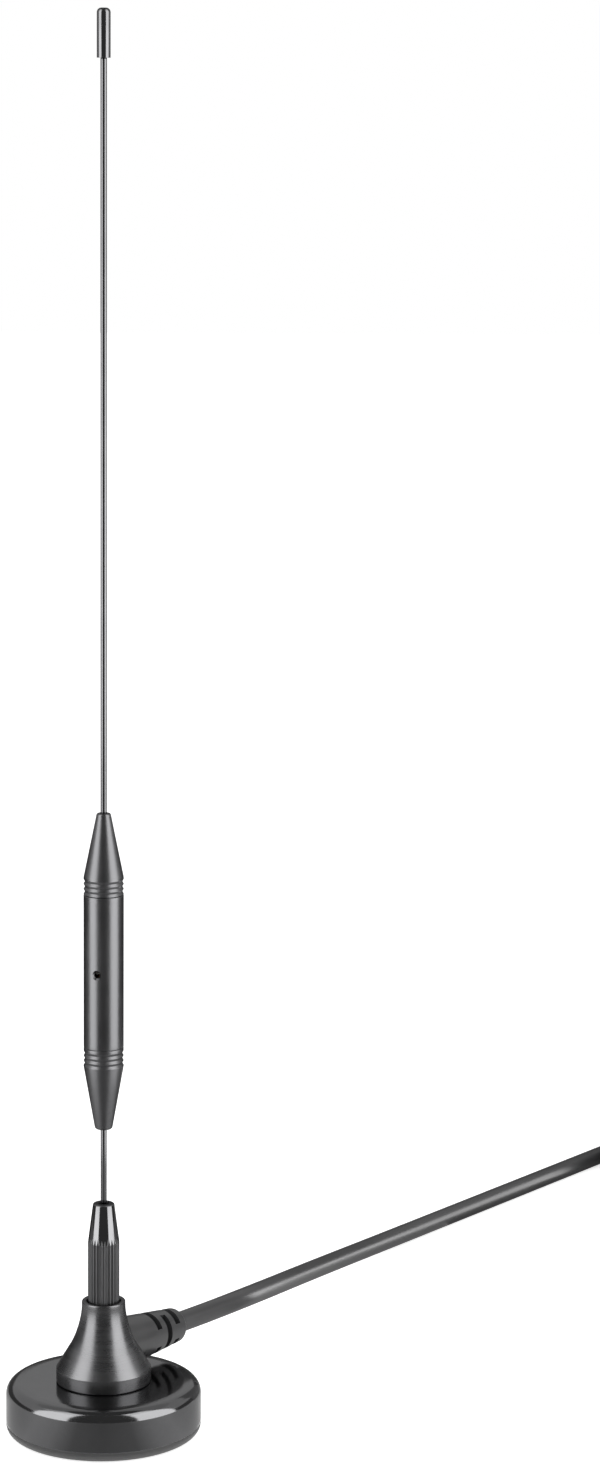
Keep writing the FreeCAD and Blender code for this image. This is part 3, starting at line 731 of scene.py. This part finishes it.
@dataclass
class Mast:
    """Everything that unscrews: ferrule, whips, coil and tip. Sizes in millimetres."""

    ferrule_radius: float = 3.98
    ferrule_top_radius: float = 2.68
    ferrule_shoulder: float = 49.6
    ferrule_edge: float = 0.5
    mouth: float = 1.37
    mouth_edge: float = 0.08
    mouth_depth: float = 1.3
    mouth_funnel: float = 0.5
    flutes: int = 27
    flute_depth: float = 0.2
    flute_land: float = 0.36
    flute_steps: int = 12
    run_out: float = 3.0
    run_out_rows: int = 12
    leeway: float = 0.01
    stud: float = 2.45
    stud_edge: float = 0.3
    stud_length: float = 5.6
    whip: float = 0.78
    whip_edge: float = 0.1
    whip_depth: float = 14.0
    play: float = 0.02
    coil: float = 5.0
    lip: float = 5.05
    groove_pitch: float = 1.27
    groove_depth: float = 0.36
    groove_edge: float = 0.1
    grooves: int = 3
    lip_height: float = 95.55
    lower_end: float = 2.15
    lower_end_edge: float = 0.7
    upper_end: float = 1.72
    upper_end_edge: float = 0.45
    upper_band: float = 0.4
    shoulder: float = 3.0
    collar: float = 0.2
    sleeve_edge: float = 0.2
    sleeve_wall: float = 0.9
    sleeve_rows: int = 40
    hole: float = 0.8
    hole_sink: float = 0.45
    hole_height: float = 19.3
    hole_angle: float = -110.8
    drill_run: float = 1.0
    tip_radius: float = 1.66
    tip_rim: float = 0.08
    tip_edge: float = 1.1
    tip_depth: float = 7.0

    @property
    def bore(self) -> float:
        """Returns the radius of a bore that takes the whip."""
        return self.whip + self.play

    @property
    def spigot(self) -> float:
        """Returns the radius of a cone's spigot in the sleeve."""
        return self.coil - self.sleeve_wall - self.play

    def build(self) -> None:
        """Builds and dresses the mast."""
        settle(self.ferrule(), FERRULE_PLATE, Body.MAST, "ferrule")
        for node in ("lower_whip", "upper_whip"):
            settle(self.wire(node), WHIP_STEEL, Body.MAST, node)
        settle(self.lower_cone(), CONE_PLATE, Body.MAST, "coil_bottom_cone")
        settle(self.upper_cone(), CONE_PLATE, Body.MAST, "coil_top_cone")
        settle(self.sleeve(), BLACK_PLATE, Body.MAST, "coil_sleeve")
        settle(self.tip(), TIP_PLATE, Body.MAST, "tip_cap")

    @staticmethod
    def span(node: str) -> tuple[float, float]:
        """Returns a node's lowest and highest level in millimetres."""
        low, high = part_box(node)
        return low.z / MM, high.z / MM

    def ferrule(self) -> bpy.types.Object:
        """Turns the ferrule and presses its flutes in.

        Returns:
            The ferrule.
        """
        stud_end, top = self.span("ferrule")
        bottom = stud_end + self.stud_length
        mouth_foot = top - self.mouth_depth
        slope = (self.ferrule_radius - self.ferrule_top_radius) / (top - self.ferrule_shoulder)
        climbs = [self.run_out * i / self.run_out_rows for i in range(self.run_out_rows + 1)]
        taper = [
            (self.ferrule_radius - slope * climb, self.ferrule_shoulder + climb)
            for climb in climbs
        ]
        bm = turned_mesh([
            (0, stud_end),
            (self.stud, stud_end, self.stud_edge),
            (self.stud, bottom),
            (self.ferrule_radius, bottom),
            *taper,
            (self.ferrule_top_radius, top, self.ferrule_edge, 8),
            (self.mouth, top, self.mouth_edge, 3),
            (self.mouth, mouth_foot),
            (self.bore, mouth_foot - self.mouth_funnel),
            (self.bore, top - self.whip_depth),
            (0, top - self.whip_depth),
        ], steps=self.flutes * self.flute_steps)
        for vert in bm.verts:
            self.press_flute(vert, bottom)
        return to_object(bm, "ferrule_fluted", sharp=24.0)

    def press_flute(self, vert: bmesh.types.BMVert, bottom: float) -> None:
        """Moves a point of the ferrule in to the flutes' section.

        Args:
            vert: The point.
            bottom: The height of the ferrule's foot in millimetres.
        """
        radius = math.hypot(vert.co.x, vert.co.y) / MM
        on_stud = vert.co.z / MM < bottom - self.leeway
        if on_stud or radius < self.ferrule_radius - self.flute_depth:
            return
        turn = math.atan2(vert.co.y, vert.co.x) / FULL_TURN * self.flutes % 1.0
        across = abs((turn - self.flute_land) / (1 - self.flute_land) * 2 - 1)
        depth = 0.0 if turn < self.flute_land else self.flute_depth * (1 - across)
        scale = min(radius, self.ferrule_radius - depth) / radius
        vert.co.x *= scale
        vert.co.y *= scale

    def wire(self, node: str) -> bpy.types.Object:
        """Turns one of the whip's two wires.

        Args:
            node: The wire's node.

        Returns:
            The wire.
        """
        low, high = self.span(node)
        return turned(node + "_wire", [
            (0, low),
            (self.whip, low, self.whip_edge, 2),
            (self.whip, high, self.whip_edge, 2),
            (0, high),
        ], steps=48)

    def groove_corners(self, start: float) -> list[Corner]:
        """Lists the corners of a band of grooves.

        Args:
            start: The height at which the band starts, in millimetres.

        Returns:
            The corners, upwards.
        """
        corners = []
        for i in range(self.grooves):
            middle = start + self.groove_pitch * (i + 0.5)
            corners.append((self.coil - self.groove_depth, middle, self.groove_edge, 4))
            corners.append((self.coil, middle + self.groove_pitch / 2, self.groove_edge, 4))
        return corners

    def lower_cone(self) -> bpy.types.Object:
        """Turns the coil housing's lower cone.

        Returns:
            The cone.
        """
        low, spigot_top = self.span("coil_bottom_cone")
        seat = self.span("coil_sleeve")[0]
        return turned("coil_cone_lower", [
            (self.bore, low),
            (self.lower_end, low, self.lower_end_edge, 8),
            (self.lip, self.lip_height, self.groove_edge, 4),
            *self.groove_corners(self.lip_height),
            (self.coil, seat, self.sleeve_edge, 5),
            (self.spigot, seat),
            (self.spigot, spigot_top),
            (self.bore, spigot_top),
        ])

    def upper_cone(self) -> bpy.types.Object:
        """Turns the coil housing's upper cone.

        Returns:
            The cone.
        """
        spigot_low, top = self.span("coil_top_cone")
        seat = self.span("coil_sleeve")[1]
        start = seat + self.collar
        shoulder = start + self.grooves * self.groove_pitch + self.upper_band
        return turned("coil_cone_upper", [
            (self.bore, spigot_low),
            (self.spigot, spigot_low),
            (self.spigot, seat),
            (self.coil - self.collar, seat),
            (self.coil, start),
            *self.groove_corners(start),
            (self.coil, shoulder, self.shoulder, 8),
            (self.upper_end, top, self.upper_end_edge, 8),
            (self.bore, top),
        ])

    def sleeve(self) -> bpy.types.Object:
        """Turns the coil's sleeve and drills its countersunk hole.

        Returns:
            The sleeve.
        """
        low, high = self.span("coil_sleeve")
        inner = self.coil - self.sleeve_wall
        heights = [low + (high - low) * i / self.sleeve_rows for i in range(1, self.sleeve_rows)]
        sleeve = turned("coil_sleeve_drilled", [
            (inner, low),
            (self.coil, low, self.sleeve_edge, 5),
            *[(self.coil, height) for height in heights],
            (self.coil, high, self.sleeve_edge, 5),
            (inner, high),
        ], steps=160)
        middle = Vector((0, 0, (low + self.hole_height) * MM))
        drill = turned("drill", [
            (0, inner - self.drill_run),
            (self.hole, inner - self.drill_run),
            (self.hole, self.coil - self.hole_sink),
            (self.hole + 2 * self.hole_sink, self.coil + self.hole_sink),
            (0, self.coil + self.hole_sink),
        ], facing(middle, bearing(self.hole_angle)), steps=40)
        return cut(sleeve, drill)

    def tip(self) -> bpy.types.Object:
        """Turns the cap at the whip's end.

        Returns:
            The cap.
        """
        low, high = self.span("tip_cap")
        return turned("tip_rounded", [
            (0, low + self.tip_depth),
            (self.bore, low + self.tip_depth),
            (self.bore, low),
            (self.tip_radius, low, self.tip_rim, 2),
            (self.tip_radius, high, self.tip_edge, 12),
            (0, high),
        ], steps=96)


@dataclass
class Lead:
    """The coaxial lead with its strain relief, tie and plug. Sizes in millimetres."""

    radius: float = 2.65
    length: float = 1500.0
    angle: float = 50.0
    slope: float = 2.58
    height: float = 21.7
    start: float = 6.6
    relief_end: float = 28.5
    first_bend: float = 30.0
    run: tuple[Triple, ...] = (
        (38.5, 45.9, 20.1),
        (58.4, 99.8, 9.97),
        (81.4, 148.4, 2.65),
        (113.5, 186.7, 2.65),
        (142.3, 221.1, 2.65),
        (162.4, 245.1, 2.65),
    )
    coil_x: float = 197.3
    coil_y: float = 232.7
    coil_radius: float = 29.0
    lanes: int = 3
    layers: int = 2
    points_per_turn: int = 16
    entry_angle: float = 140.0
    shift_share: float = 0.2
    tail: tuple[Triple, ...] = (
        (176.8, 261.6, 10.2),
        (187.6, 267.3, 12.2),
        (199.7, 268.5, 13.3),
        (211.4, 265.0, 13.3),
        (220.9, 257.4, 13.4),
        (226.8, 246.7, 13.6),
        (228.2, 234.6, 14.4),
        (225.0, 222.8, 15.7),
    )
    tail_last_run: float = 12.0
    plug_angle: float = -60.0
    plug_chord: float = 27.0
    plug_past: float = 4.3
    grip: float = 6.0
    grip_length: float = 22.0
    grip_rear: float = 3.9
    grip_swell: float = 5.0
    grip_nose: float = 4.0
    ribs: int = 8
    rib_start: float = 6.0
    rib_end: float = 1.0
    rib_depth: float = 0.35
    rib_edge: float = 0.08
    rib_foot: float = 0.1
    nose: float = 5.6
    nose_slope: float = 0.6
    seat_depth: float = 3.0
    contact: float = 4.75
    contact_wall: float = 0.5
    contact_length: float = 13.5
    contact_root: float = 4.55
    pin: float = 1.2
    pin_edge: float = 0.8
    pin_short: float = 1.0

    @property
    def seat(self) -> float:
        """Returns the level at which the plug's metal starts in its grip."""
        return self.grip_length - self.seat_depth

    @property
    def contact_end(self) -> float:
        """Returns the level of the contact's free end."""
        return self.grip_length + self.contact_length

    def build(self) -> None:
        """Builds and dresses the lead and what is on it."""
        grip = settle(self.plug_grip(), GRIP_PVC, Body.BASE, "plug_grip")
        contact = settle(self.plug_contact(), NICKEL, Body.BASE, "plug_contact")
        disc = copy_of_node("plug_insulator", "plug_disc")
        settle(disc, NYLON, Body.BASE, "plug_insulator")
        pin = settle(self.plug_pin(), NICKEL, Body.BASE, "plug_pin")
        tie = settle(copy_of_node("lead_tie", "tie_strap"), TIE_NYLON, Body.BASE, "lead_tie")
        boot = copy_of_node("strain_relief", "relief_boot")
        settle(boot, RELIEF_PVC, Body.BASE, "strain_relief")
        cord = settle(self.cord(), LEAD_PVC, Body.BASE, "lead_run", "lead_coil", "lead_tail")
        tuple(self.on_exit(self.relief_end) * MM)

    def on_exit(self, distance: float) -> Vector:
        """Finds a point on the axis on which the lead leaves the cone.

        Args:
            distance: Its distance from where that axis meets the whip's.

        Returns:
            The point.
        """
        slope = math.radians(self.slope)
        flat = distance * math.cos(slope)
        around = math.radians(self.angle)
        return Vector((
            flat * math.cos(around),
            flat * math.sin(around),
            self.height - distance * math.sin(slope),
        ))

    def near_coil(self, degrees: float, radius: float, height: float) -> Vector:
        """Finds a point by its place round the coil's middle.

        Args:
            degrees: Its angle from +X.
            radius: Its distance from the coil's middle.
            height: Its height.

        Returns:
            The point.
        """
        angle = math.radians(degrees)
        return Vector((
            self.coil_x + radius * math.cos(angle),
            self.coil_y + radius * math.sin(angle),
            height,
        ))

    def plug_direction(self) -> Vector:
        """Returns the level direction in which the plug points."""
        return bearing(self.plug_angle - 90)

    def plug_rear(self) -> Vector:
        """Finds the middle of the plug's rear end, on top of the coil.

        Returns:
            The point.
        """
        level = self.layers * 2 * self.radius + self.grip
        beside = self.near_coil(self.plug_angle, self.plug_chord, level)
        return beside + self.plug_direction() * self.plug_past

    def coil_points(self) -> Iterable[Vector]:
        """Winds the coil: the lower layer inwards, then the upper layer outwards.

        Yields:
            The control points of the turns.
        """
        step = 360.0 / self.points_per_turn
        widen = 1 / math.cos(math.radians(step / 2))
        pitch = 2 * self.radius
        inwards = list(range(self.lanes))
        places = [(lane, 0) for lane in inwards] + [(lane, 1) for lane in reversed(inwards)]
        turns = len(places)
        for i in range(turns * self.points_per_turn):
            turn, share = divmod(i / self.points_per_turn, 1.0)
            here = places[int(turn)]
            after = places[min(int(turn) + 1, turns - 1)]
            shift = max(0.0, (share - 1 + self.shift_share) / self.shift_share)
            ease = shift * shift * (3 - 2 * shift)
            lane = here[0] + (after[0] - here[0]) * ease
            layer = here[1] + (after[1] - here[1]) * ease
            radius = self.coil_radius + ((self.lanes - 1) / 2 - lane) * pitch
            degrees = self.entry_angle - step * (i + 0.5)
            yield self.near_coil(degrees, radius * widen, self.radius + layer * pitch)

    def route(self) -> list[Vector]:
        """Lists the control points of the whole lead, from the cone to the plug.

        Returns:
            The points.
        """
        return [
            self.on_exit(self.start),
            self.on_exit(self.first_bend),
            *map(Vector, self.run),
            *self.coil_points(),
            *map(Vector, self.tail),
            self.plug_rear() - self.plug_direction() * self.tail_last_run,
            self.plug_rear(),
        ]

    def cord(self) -> bpy.types.Object:
        """Lays the lead as a round curve.

        Returns:
            The lead.
        """
        curve = bpy.data.curves.new("lead_cord", "CURVE")
        curve.dimensions = "3D"
        curve.bevel_depth = self.radius * MM
        curve.bevel_resolution = 6
        curve.resolution_u = 8
        points = self.route()
        spline = curve.splines.new("NURBS")
        spline.points.add(len(points) - 1)
        for slot, point in zip(spline.points, points):
            slot.co = (*(point * MM), 1.0)
        spline.order_u = 3
        spline.use_endpoint_u = True
        return linked("lead_cord", curve)

    def plug_place(self) -> Matrix:
        """Returns the placement that turns +Z to the plug's direction."""
        return facing(self.plug_rear() * MM, self.plug_direction())

    def plug_grip(self) -> bpy.types.Object:
        """Turns the moulded grip with its ribs.

        Returns:
            The grip.
        """
        nose_start = self.grip_length - self.grip_nose
        pitch = (nose_start - self.rib_start - self.rib_end) / self.ribs
        ribs = []
        for i in range(self.ribs):
            start = self.rib_start + i * pitch
            ribs += [
                (self.grip, start, self.rib_edge, 2),
                (self.grip - self.rib_depth, start + 0.25 * pitch, self.rib_foot, 2),
                (self.grip - self.rib_depth, start + 0.5 * pitch, self.rib_foot, 2),
                (self.grip, start + 0.75 * pitch, self.rib_edge, 2),
            ]
        return turned("plug_grip_moulded", [
            (0, 0),
            (self.grip_rear, 0, 0.5),
            (self.grip, self.grip_swell, 0.9),
            *ribs,
            (self.grip, nose_start, 0.3),
            (self.nose, nose_start + self.nose_slope),
            (self.nose, self.grip_length, 0.4),
            (self.contact_root, self.grip_length),
            (self.contact_root, self.seat),
            (0, self.seat),
        ], self.plug_place())

    def plug_contact(self) -> bpy.types.Object:
        """Turns the plug's outer contact, which steps down at its root.

        Returns:
            The contact.
        """
        inner = self.contact - self.contact_wall
        return turned("plug_contact_tube", [
            (inner, self.seat),
            (self.contact_root, self.seat),
            (self.contact_root, self.grip_length),
            (self.contact, self.grip_length),
            (self.contact, self.contact_end, 0.3, 4),
            (inner, self.contact_end, 0.15, 3),
        ], self.plug_place())

    def plug_pin(self) -> bpy.types.Object:
        """Turns the plug's centre pin.

        Returns:
            The pin.
        """
        end = self.contact_end - self.pin_short
        return turned("plug_pin_round", [
            (0, self.seat),
            (self.pin, self.seat),
            (self.pin, end, self.pin_edge, 8),
            (0, end),
        ], self.plug_place(), steps=64)


class Grey(Enum):
    """How bright a card is, with white paper at 1."""

    DARK = 0.1
    SHADE = 0.2
    SIDE = 0.3
    HIGH = 0.4
    DIM = 0.5
    NEAR = 0.63
    PALE = 0.9
    LAMP = 2.1
    SHEEN = 2.9


@dataclass(frozen=True)
class Card:
    """A sheet of card from one angle to another about the antenna's axis, and from rim to rim."""

    name: str
    start: float
    end: float
    near: Rim
    far: Rim
    grey: Grey
    toned: bool = False


@dataclass(frozen=True)
class Lamp:
    """A tall soft lamp: its bearing in degrees, its width in metres and its power in watts."""

    name: str
    bearing: float
    width: float
    power: float


@dataclass
class Studio:
    """Floor, backdrop, lamps, cards and camera. Sizes in metres, angles in degrees."""

    eye: Triple = (0.0, -0.943, 0.3437)
    yaw: float = 2.940
    pitch: float = 9.869
    roll: float = 0.506
    lens: float = 95.09
    sky: float = 0.7
    floor_size: float = 8.0
    floor_drop: float = 0.0001
    floor_grey: float = 0.86
    floor_white: float = 0.72
    lamps: tuple[Lamp, ...] = (
        Lamp("lamp_left", -153.5, 0.364, 1.2),
        Lamp("lamp_right", -26.3, 0.415, 1.4),
    )
    lamp_top: float = 0.62
    lamp_gap: float = 0.01
    reach: float = 0.45
    head: float = 1.1
    foot: float = 0.0265
    spread: float = 0.2
    lift: float = 0.0002
    band_foot: float = 0.14
    band_top: float = 0.5
    lead_card: tuple[Triple, ...] = (
        (0.096, 0.052, 0.048),
        (0.136, 0.140, 0.040),
        (0.158, 0.205, 0.026),
        (0.155, 0.222, 0.014),
    )
    cone_card: tuple[Triple, ...] = ((0.0465, 0.050, 0.070), (0.098, 0.050, 0.070))
    backing: float = 0.0015

    def build(self) -> None:
        """Builds the studio."""
        self.set_camera()
        self.set_world()
        self.lay_floor()
        for lamp in self.lamps:
            self.stand_lamp(lamp)
        self.stand_by_lead()
        for card in self.cards():
            self.hang(card)

    def set_camera(self) -> None:
        """Places the camera at the photograph's viewpoint."""
        yaw, pitch, roll = (math.radians(v) for v in (self.yaw, self.pitch, self.roll))
        ahead = Vector((
            math.sin(yaw) * math.cos(pitch),
            math.cos(yaw) * math.cos(pitch),
            -math.sin(pitch),
        ))
        level = Vector((math.cos(yaw), -math.sin(yaw), 0.0))
        upright = level.cross(ahead)
        right = level * math.cos(roll) + upright * math.sin(roll)
        above = upright * math.cos(roll) - level * math.sin(roll)
        data = bpy.data.cameras.new("camera")
        data.lens = self.lens
        data.sensor_width = 36.0
        data.clip_start = 0.01
        made = linked("camera", data)
        turn = Matrix((right, above, -ahead)).transposed().to_4x4()
        made.matrix_world = Matrix.Translation(self.eye) @ turn
        bpy.context.scene.camera = made

    @staticmethod
    def seen(book: NodeBook) -> Channel:
        """Tells the rays that show the backdrop from those that light the object.

        Args:
            book: The node book.

        Returns:
            1 for camera, glossy and transmission rays, and 0 for others.
        """
        rays = [
            book.output("ShaderNodeLightPath", {}, {}, name)
            for name in ("Is Camera Ray", "Is Glossy Ray", "Is Transmission Ray")
        ]
        return rays[0].either(rays[1]).either(rays[2])

    def set_world(self) -> None:
        """Sets a white backdrop and an even grey sky that lights the object."""
        world = bpy.data.worlds.new("studio")
        world.use_nodes = True
        bpy.context.scene.world = world
        book = NodeBook(world.node_tree)
        grey = (self.sky, self.sky, self.sky, 1.0)
        sky = book.output("ShaderNodeBackground", {}, {"Color": grey, "Strength": 1.0})
        backdrop = book.output("ShaderNodeBackground", {}, {"Color": WHITE, "Strength": 1.0})
        mixed = book.output("ShaderNodeMixShader", {}, {0: self.seen(book), 1: sky, 2: backdrop})
        book.node("ShaderNodeOutputWorld", {}, {"Surface": mixed})

    def lay_floor(self) -> None:
        """Lays the pale floor, which keeps a soft shadow of the object."""
        bm = bmesh.new()
        bmesh.ops.create_grid(bm, x_segments=1, y_segments=1, size=self.floor_size / 2)
        bmesh.ops.translate(bm, verts=bm.verts, vec=(0, 0, -self.floor_drop))
        made = to_object(bm, "floor")
        material, book = new_book("floor_pale")
        grey = (self.floor_grey, self.floor_grey, self.floor_grey, 1.0)
        shadowed = book.output("ShaderNodeBsdfDiffuse", {}, {"Color": grey})
        white = book.output("ShaderNodeEmission", {}, {"Color": WHITE, "Strength": 1.0})
        lit = book.output("ShaderNodeAddShader", {}, {0: shadowed, 1: white})
        paper = book.output("ShaderNodeMixShader", {}, {0: self.floor_white, 1: shadowed, 2: lit})
        inputs = {0: self.seen(book), 1: shadowed, 2: paper}
        book.end(book.output("ShaderNodeMixShader", {}, inputs))
        made.data.materials.append(material)

    def stand_lamp(self, lamp: Lamp) -> None:
        """Stands a tall soft lamp on the floor.

        Args:
            lamp: The lamp.
        """
        data = bpy.data.lights.new(lamp.name, "AREA")
        data.shape = "RECTANGLE"
        data.size = lamp.width
        data.size_y = self.lamp_top
        data.energy = lamp.power
        made = linked(lamp.name, data)
        out = bearing(lamp.bearing)
        place = out * (self.reach - self.lamp_gap) + Vector((0, 0, self.lamp_top / 2))
        made.matrix_world = facing(place, out)
        made.visible_camera = False

    def cards(self) -> Iterable[Card]:
        """Lists the cards that stand round the object, hang over it and lie on the floor.

        Yields:
            The cards.
        """
        left_front, front_left, front_right, right = -176.0, -131.0, -51.5, -1.0
        back_right, back_left, left_high, left = 42.0, 138.0, 166.0, 184.0
        axis, near = (0.001, self.head), (self.foot, self.lift)
        middle, foot = (self.spread, self.lift), (self.reach, self.lift)
        band_foot, band_top = (self.reach, self.band_foot), (self.reach, self.band_top)
        lamp_top, top = (self.reach, self.lamp_top), (self.reach, self.head)
        yield Card("floor_front", front_left, front_right, middle, foot, Grey.DARK)
        yield Card("floor_right_front", front_right, right, middle, foot, Grey.LAMP)
        yield Card("floor_right", right, back_right, middle, foot, Grey.SIDE)
        yield Card("floor_back", back_right, back_left, middle, foot, Grey.DARK)
        yield Card("floor_left", back_left, left, middle, foot, Grey.SIDE)
        yield Card("floor_left_front", left_front, front_left, middle, foot, Grey.LAMP)
        yield Card("card_front", front_left, front_right, foot, top, Grey.DARK)
        yield Card("card_back_low", right, left, foot, band_foot, Grey.DARK)
        yield Card("card_back_middle", right, left, band_foot, band_top, Grey.DIM)
        yield Card("card_back_high", right, left_high, band_top, top, Grey.HIGH)
        yield Card("card_left_high", left_high, left, band_top, top, Grey.PALE)
        yield Card("card_over_right", front_right, right, lamp_top, top, Grey.LAMP)
        yield Card("card_over_left", left_front, front_left, lamp_top, top, Grey.LAMP)
        yield Card("card_ceiling", 0.0, 360.0, axis, top, Grey.DARK)
        yield Card("floor_near", 0.0, 360.0, near, middle, Grey.NEAR, toned=True)

    @staticmethod
    def floor_tone(book: NodeBook) -> Channel:
        """Works out a tone that is dark before and behind the object and bright at its sides.

        Args:
            book: The material's node book.

        Returns:
            The tone.
        """
        settings = {"operation": "NORMALIZE"}
        outward = book.output("ShaderNodeVectorMath", settings, {0: book.level()})
        aside = book.output("ShaderNodeSeparateXYZ", {}, {0: outward}, "X")
        sideways = aside.either(0 - aside)
        stops = ((0.0, 0.32), (0.4, 0.4), (0.68, 0.85), (0.9, 1.0), (1.0, 0.85))
        return book.ramp(sideways, stops)

    def hang(self, card: Card) -> None:
        """Makes one card by turning its edge about the antenna's axis.

        Args:
            card: The card.
        """
        out = bearing(card.start)
        bm = bmesh.new()
        ends = [
            bm.verts.new(out * radius + Vector((0, 0, height)))
            for radius, height in (card.near, card.far)
        ]
        bm.edges.new(ends)
        bmesh.ops.spin(bm, geom=bm.verts[:] + bm.edges[:], cent=(0, 0, 0), axis=(0, 0, 1),
                       angle=math.radians(card.end - card.start), steps=24,
                       use_merge=False, use_duplicate=False)
        self.glow(to_object(bm, card.name), card.grey, card.toned)

    def stand_by_lead(self) -> None:
        """Stands a pale card by the lead for its sheen, a dark one behind it and one by the cone."""
        for name, line, shift, grey in (
            ("card_by_lead", self.lead_card, 0.0, Grey.SHEEN),
            ("card_behind_lead", self.lead_card, self.backing, Grey.SHADE),
            ("card_by_cone", self.cone_card, 0.0, Grey.SHADE),
        ):
            bm = bmesh.new()
            bmesh.ops.create_grid(bm, x_segments=len(line) - 1, y_segments=1, size=1.0)
            for i, vert in enumerate(bm.verts):
                row, column = divmod(i, len(line))
                x, y, top = line[column]
                vert.co = (x + shift, y, top + shift if row else self.lift)
            self.glow(to_object(bm, name), grey)

    def glow(self, made: bpy.types.Object, grey: Grey, toned: bool = False) -> None:
        """Gives a card its brightness, which only the object's gloss shows.

        Args:
            made: The card's object.
            grey: Its brightness.
            toned: Whether it is darker before and behind the object.
        """
        material, book = new_book(made.name + "_paint")
        inputs = {"Color": self.floor_tone(book) if toned else WHITE, "Strength": grey.value}
        book.end(book.output("ShaderNodeEmission", {}, inputs))
        made.data.materials.append(material)
        made.visible_camera = False
        made.visible_diffuse = False
        made.visible_shadow = False
        made.visible_transmission = False


def dress_hidden_nodes() -> None:
    """Gives the CAD nodes that stay as they are their finishes."""
    for name, finish in HIDDEN_NODES.items():
        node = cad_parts[name]
        node.data.materials.clear()
        node.data.materials.append(finish.material())
        LOG.info("%s keeps its CAD shape", name)


def main() -> None:
    """Builds the studio and dresses the antenna."""
    logging.basicConfig(level=logging.INFO, format="%(name)s: %(message)s")
    bpy.context.scene.view_settings.view_transform = "Standard"
    Studio().build()
    Lead().build()
    Base().build()
    Mast().build()
    dress_hidden_nodes()


if __name__ == "__main__":
    main()
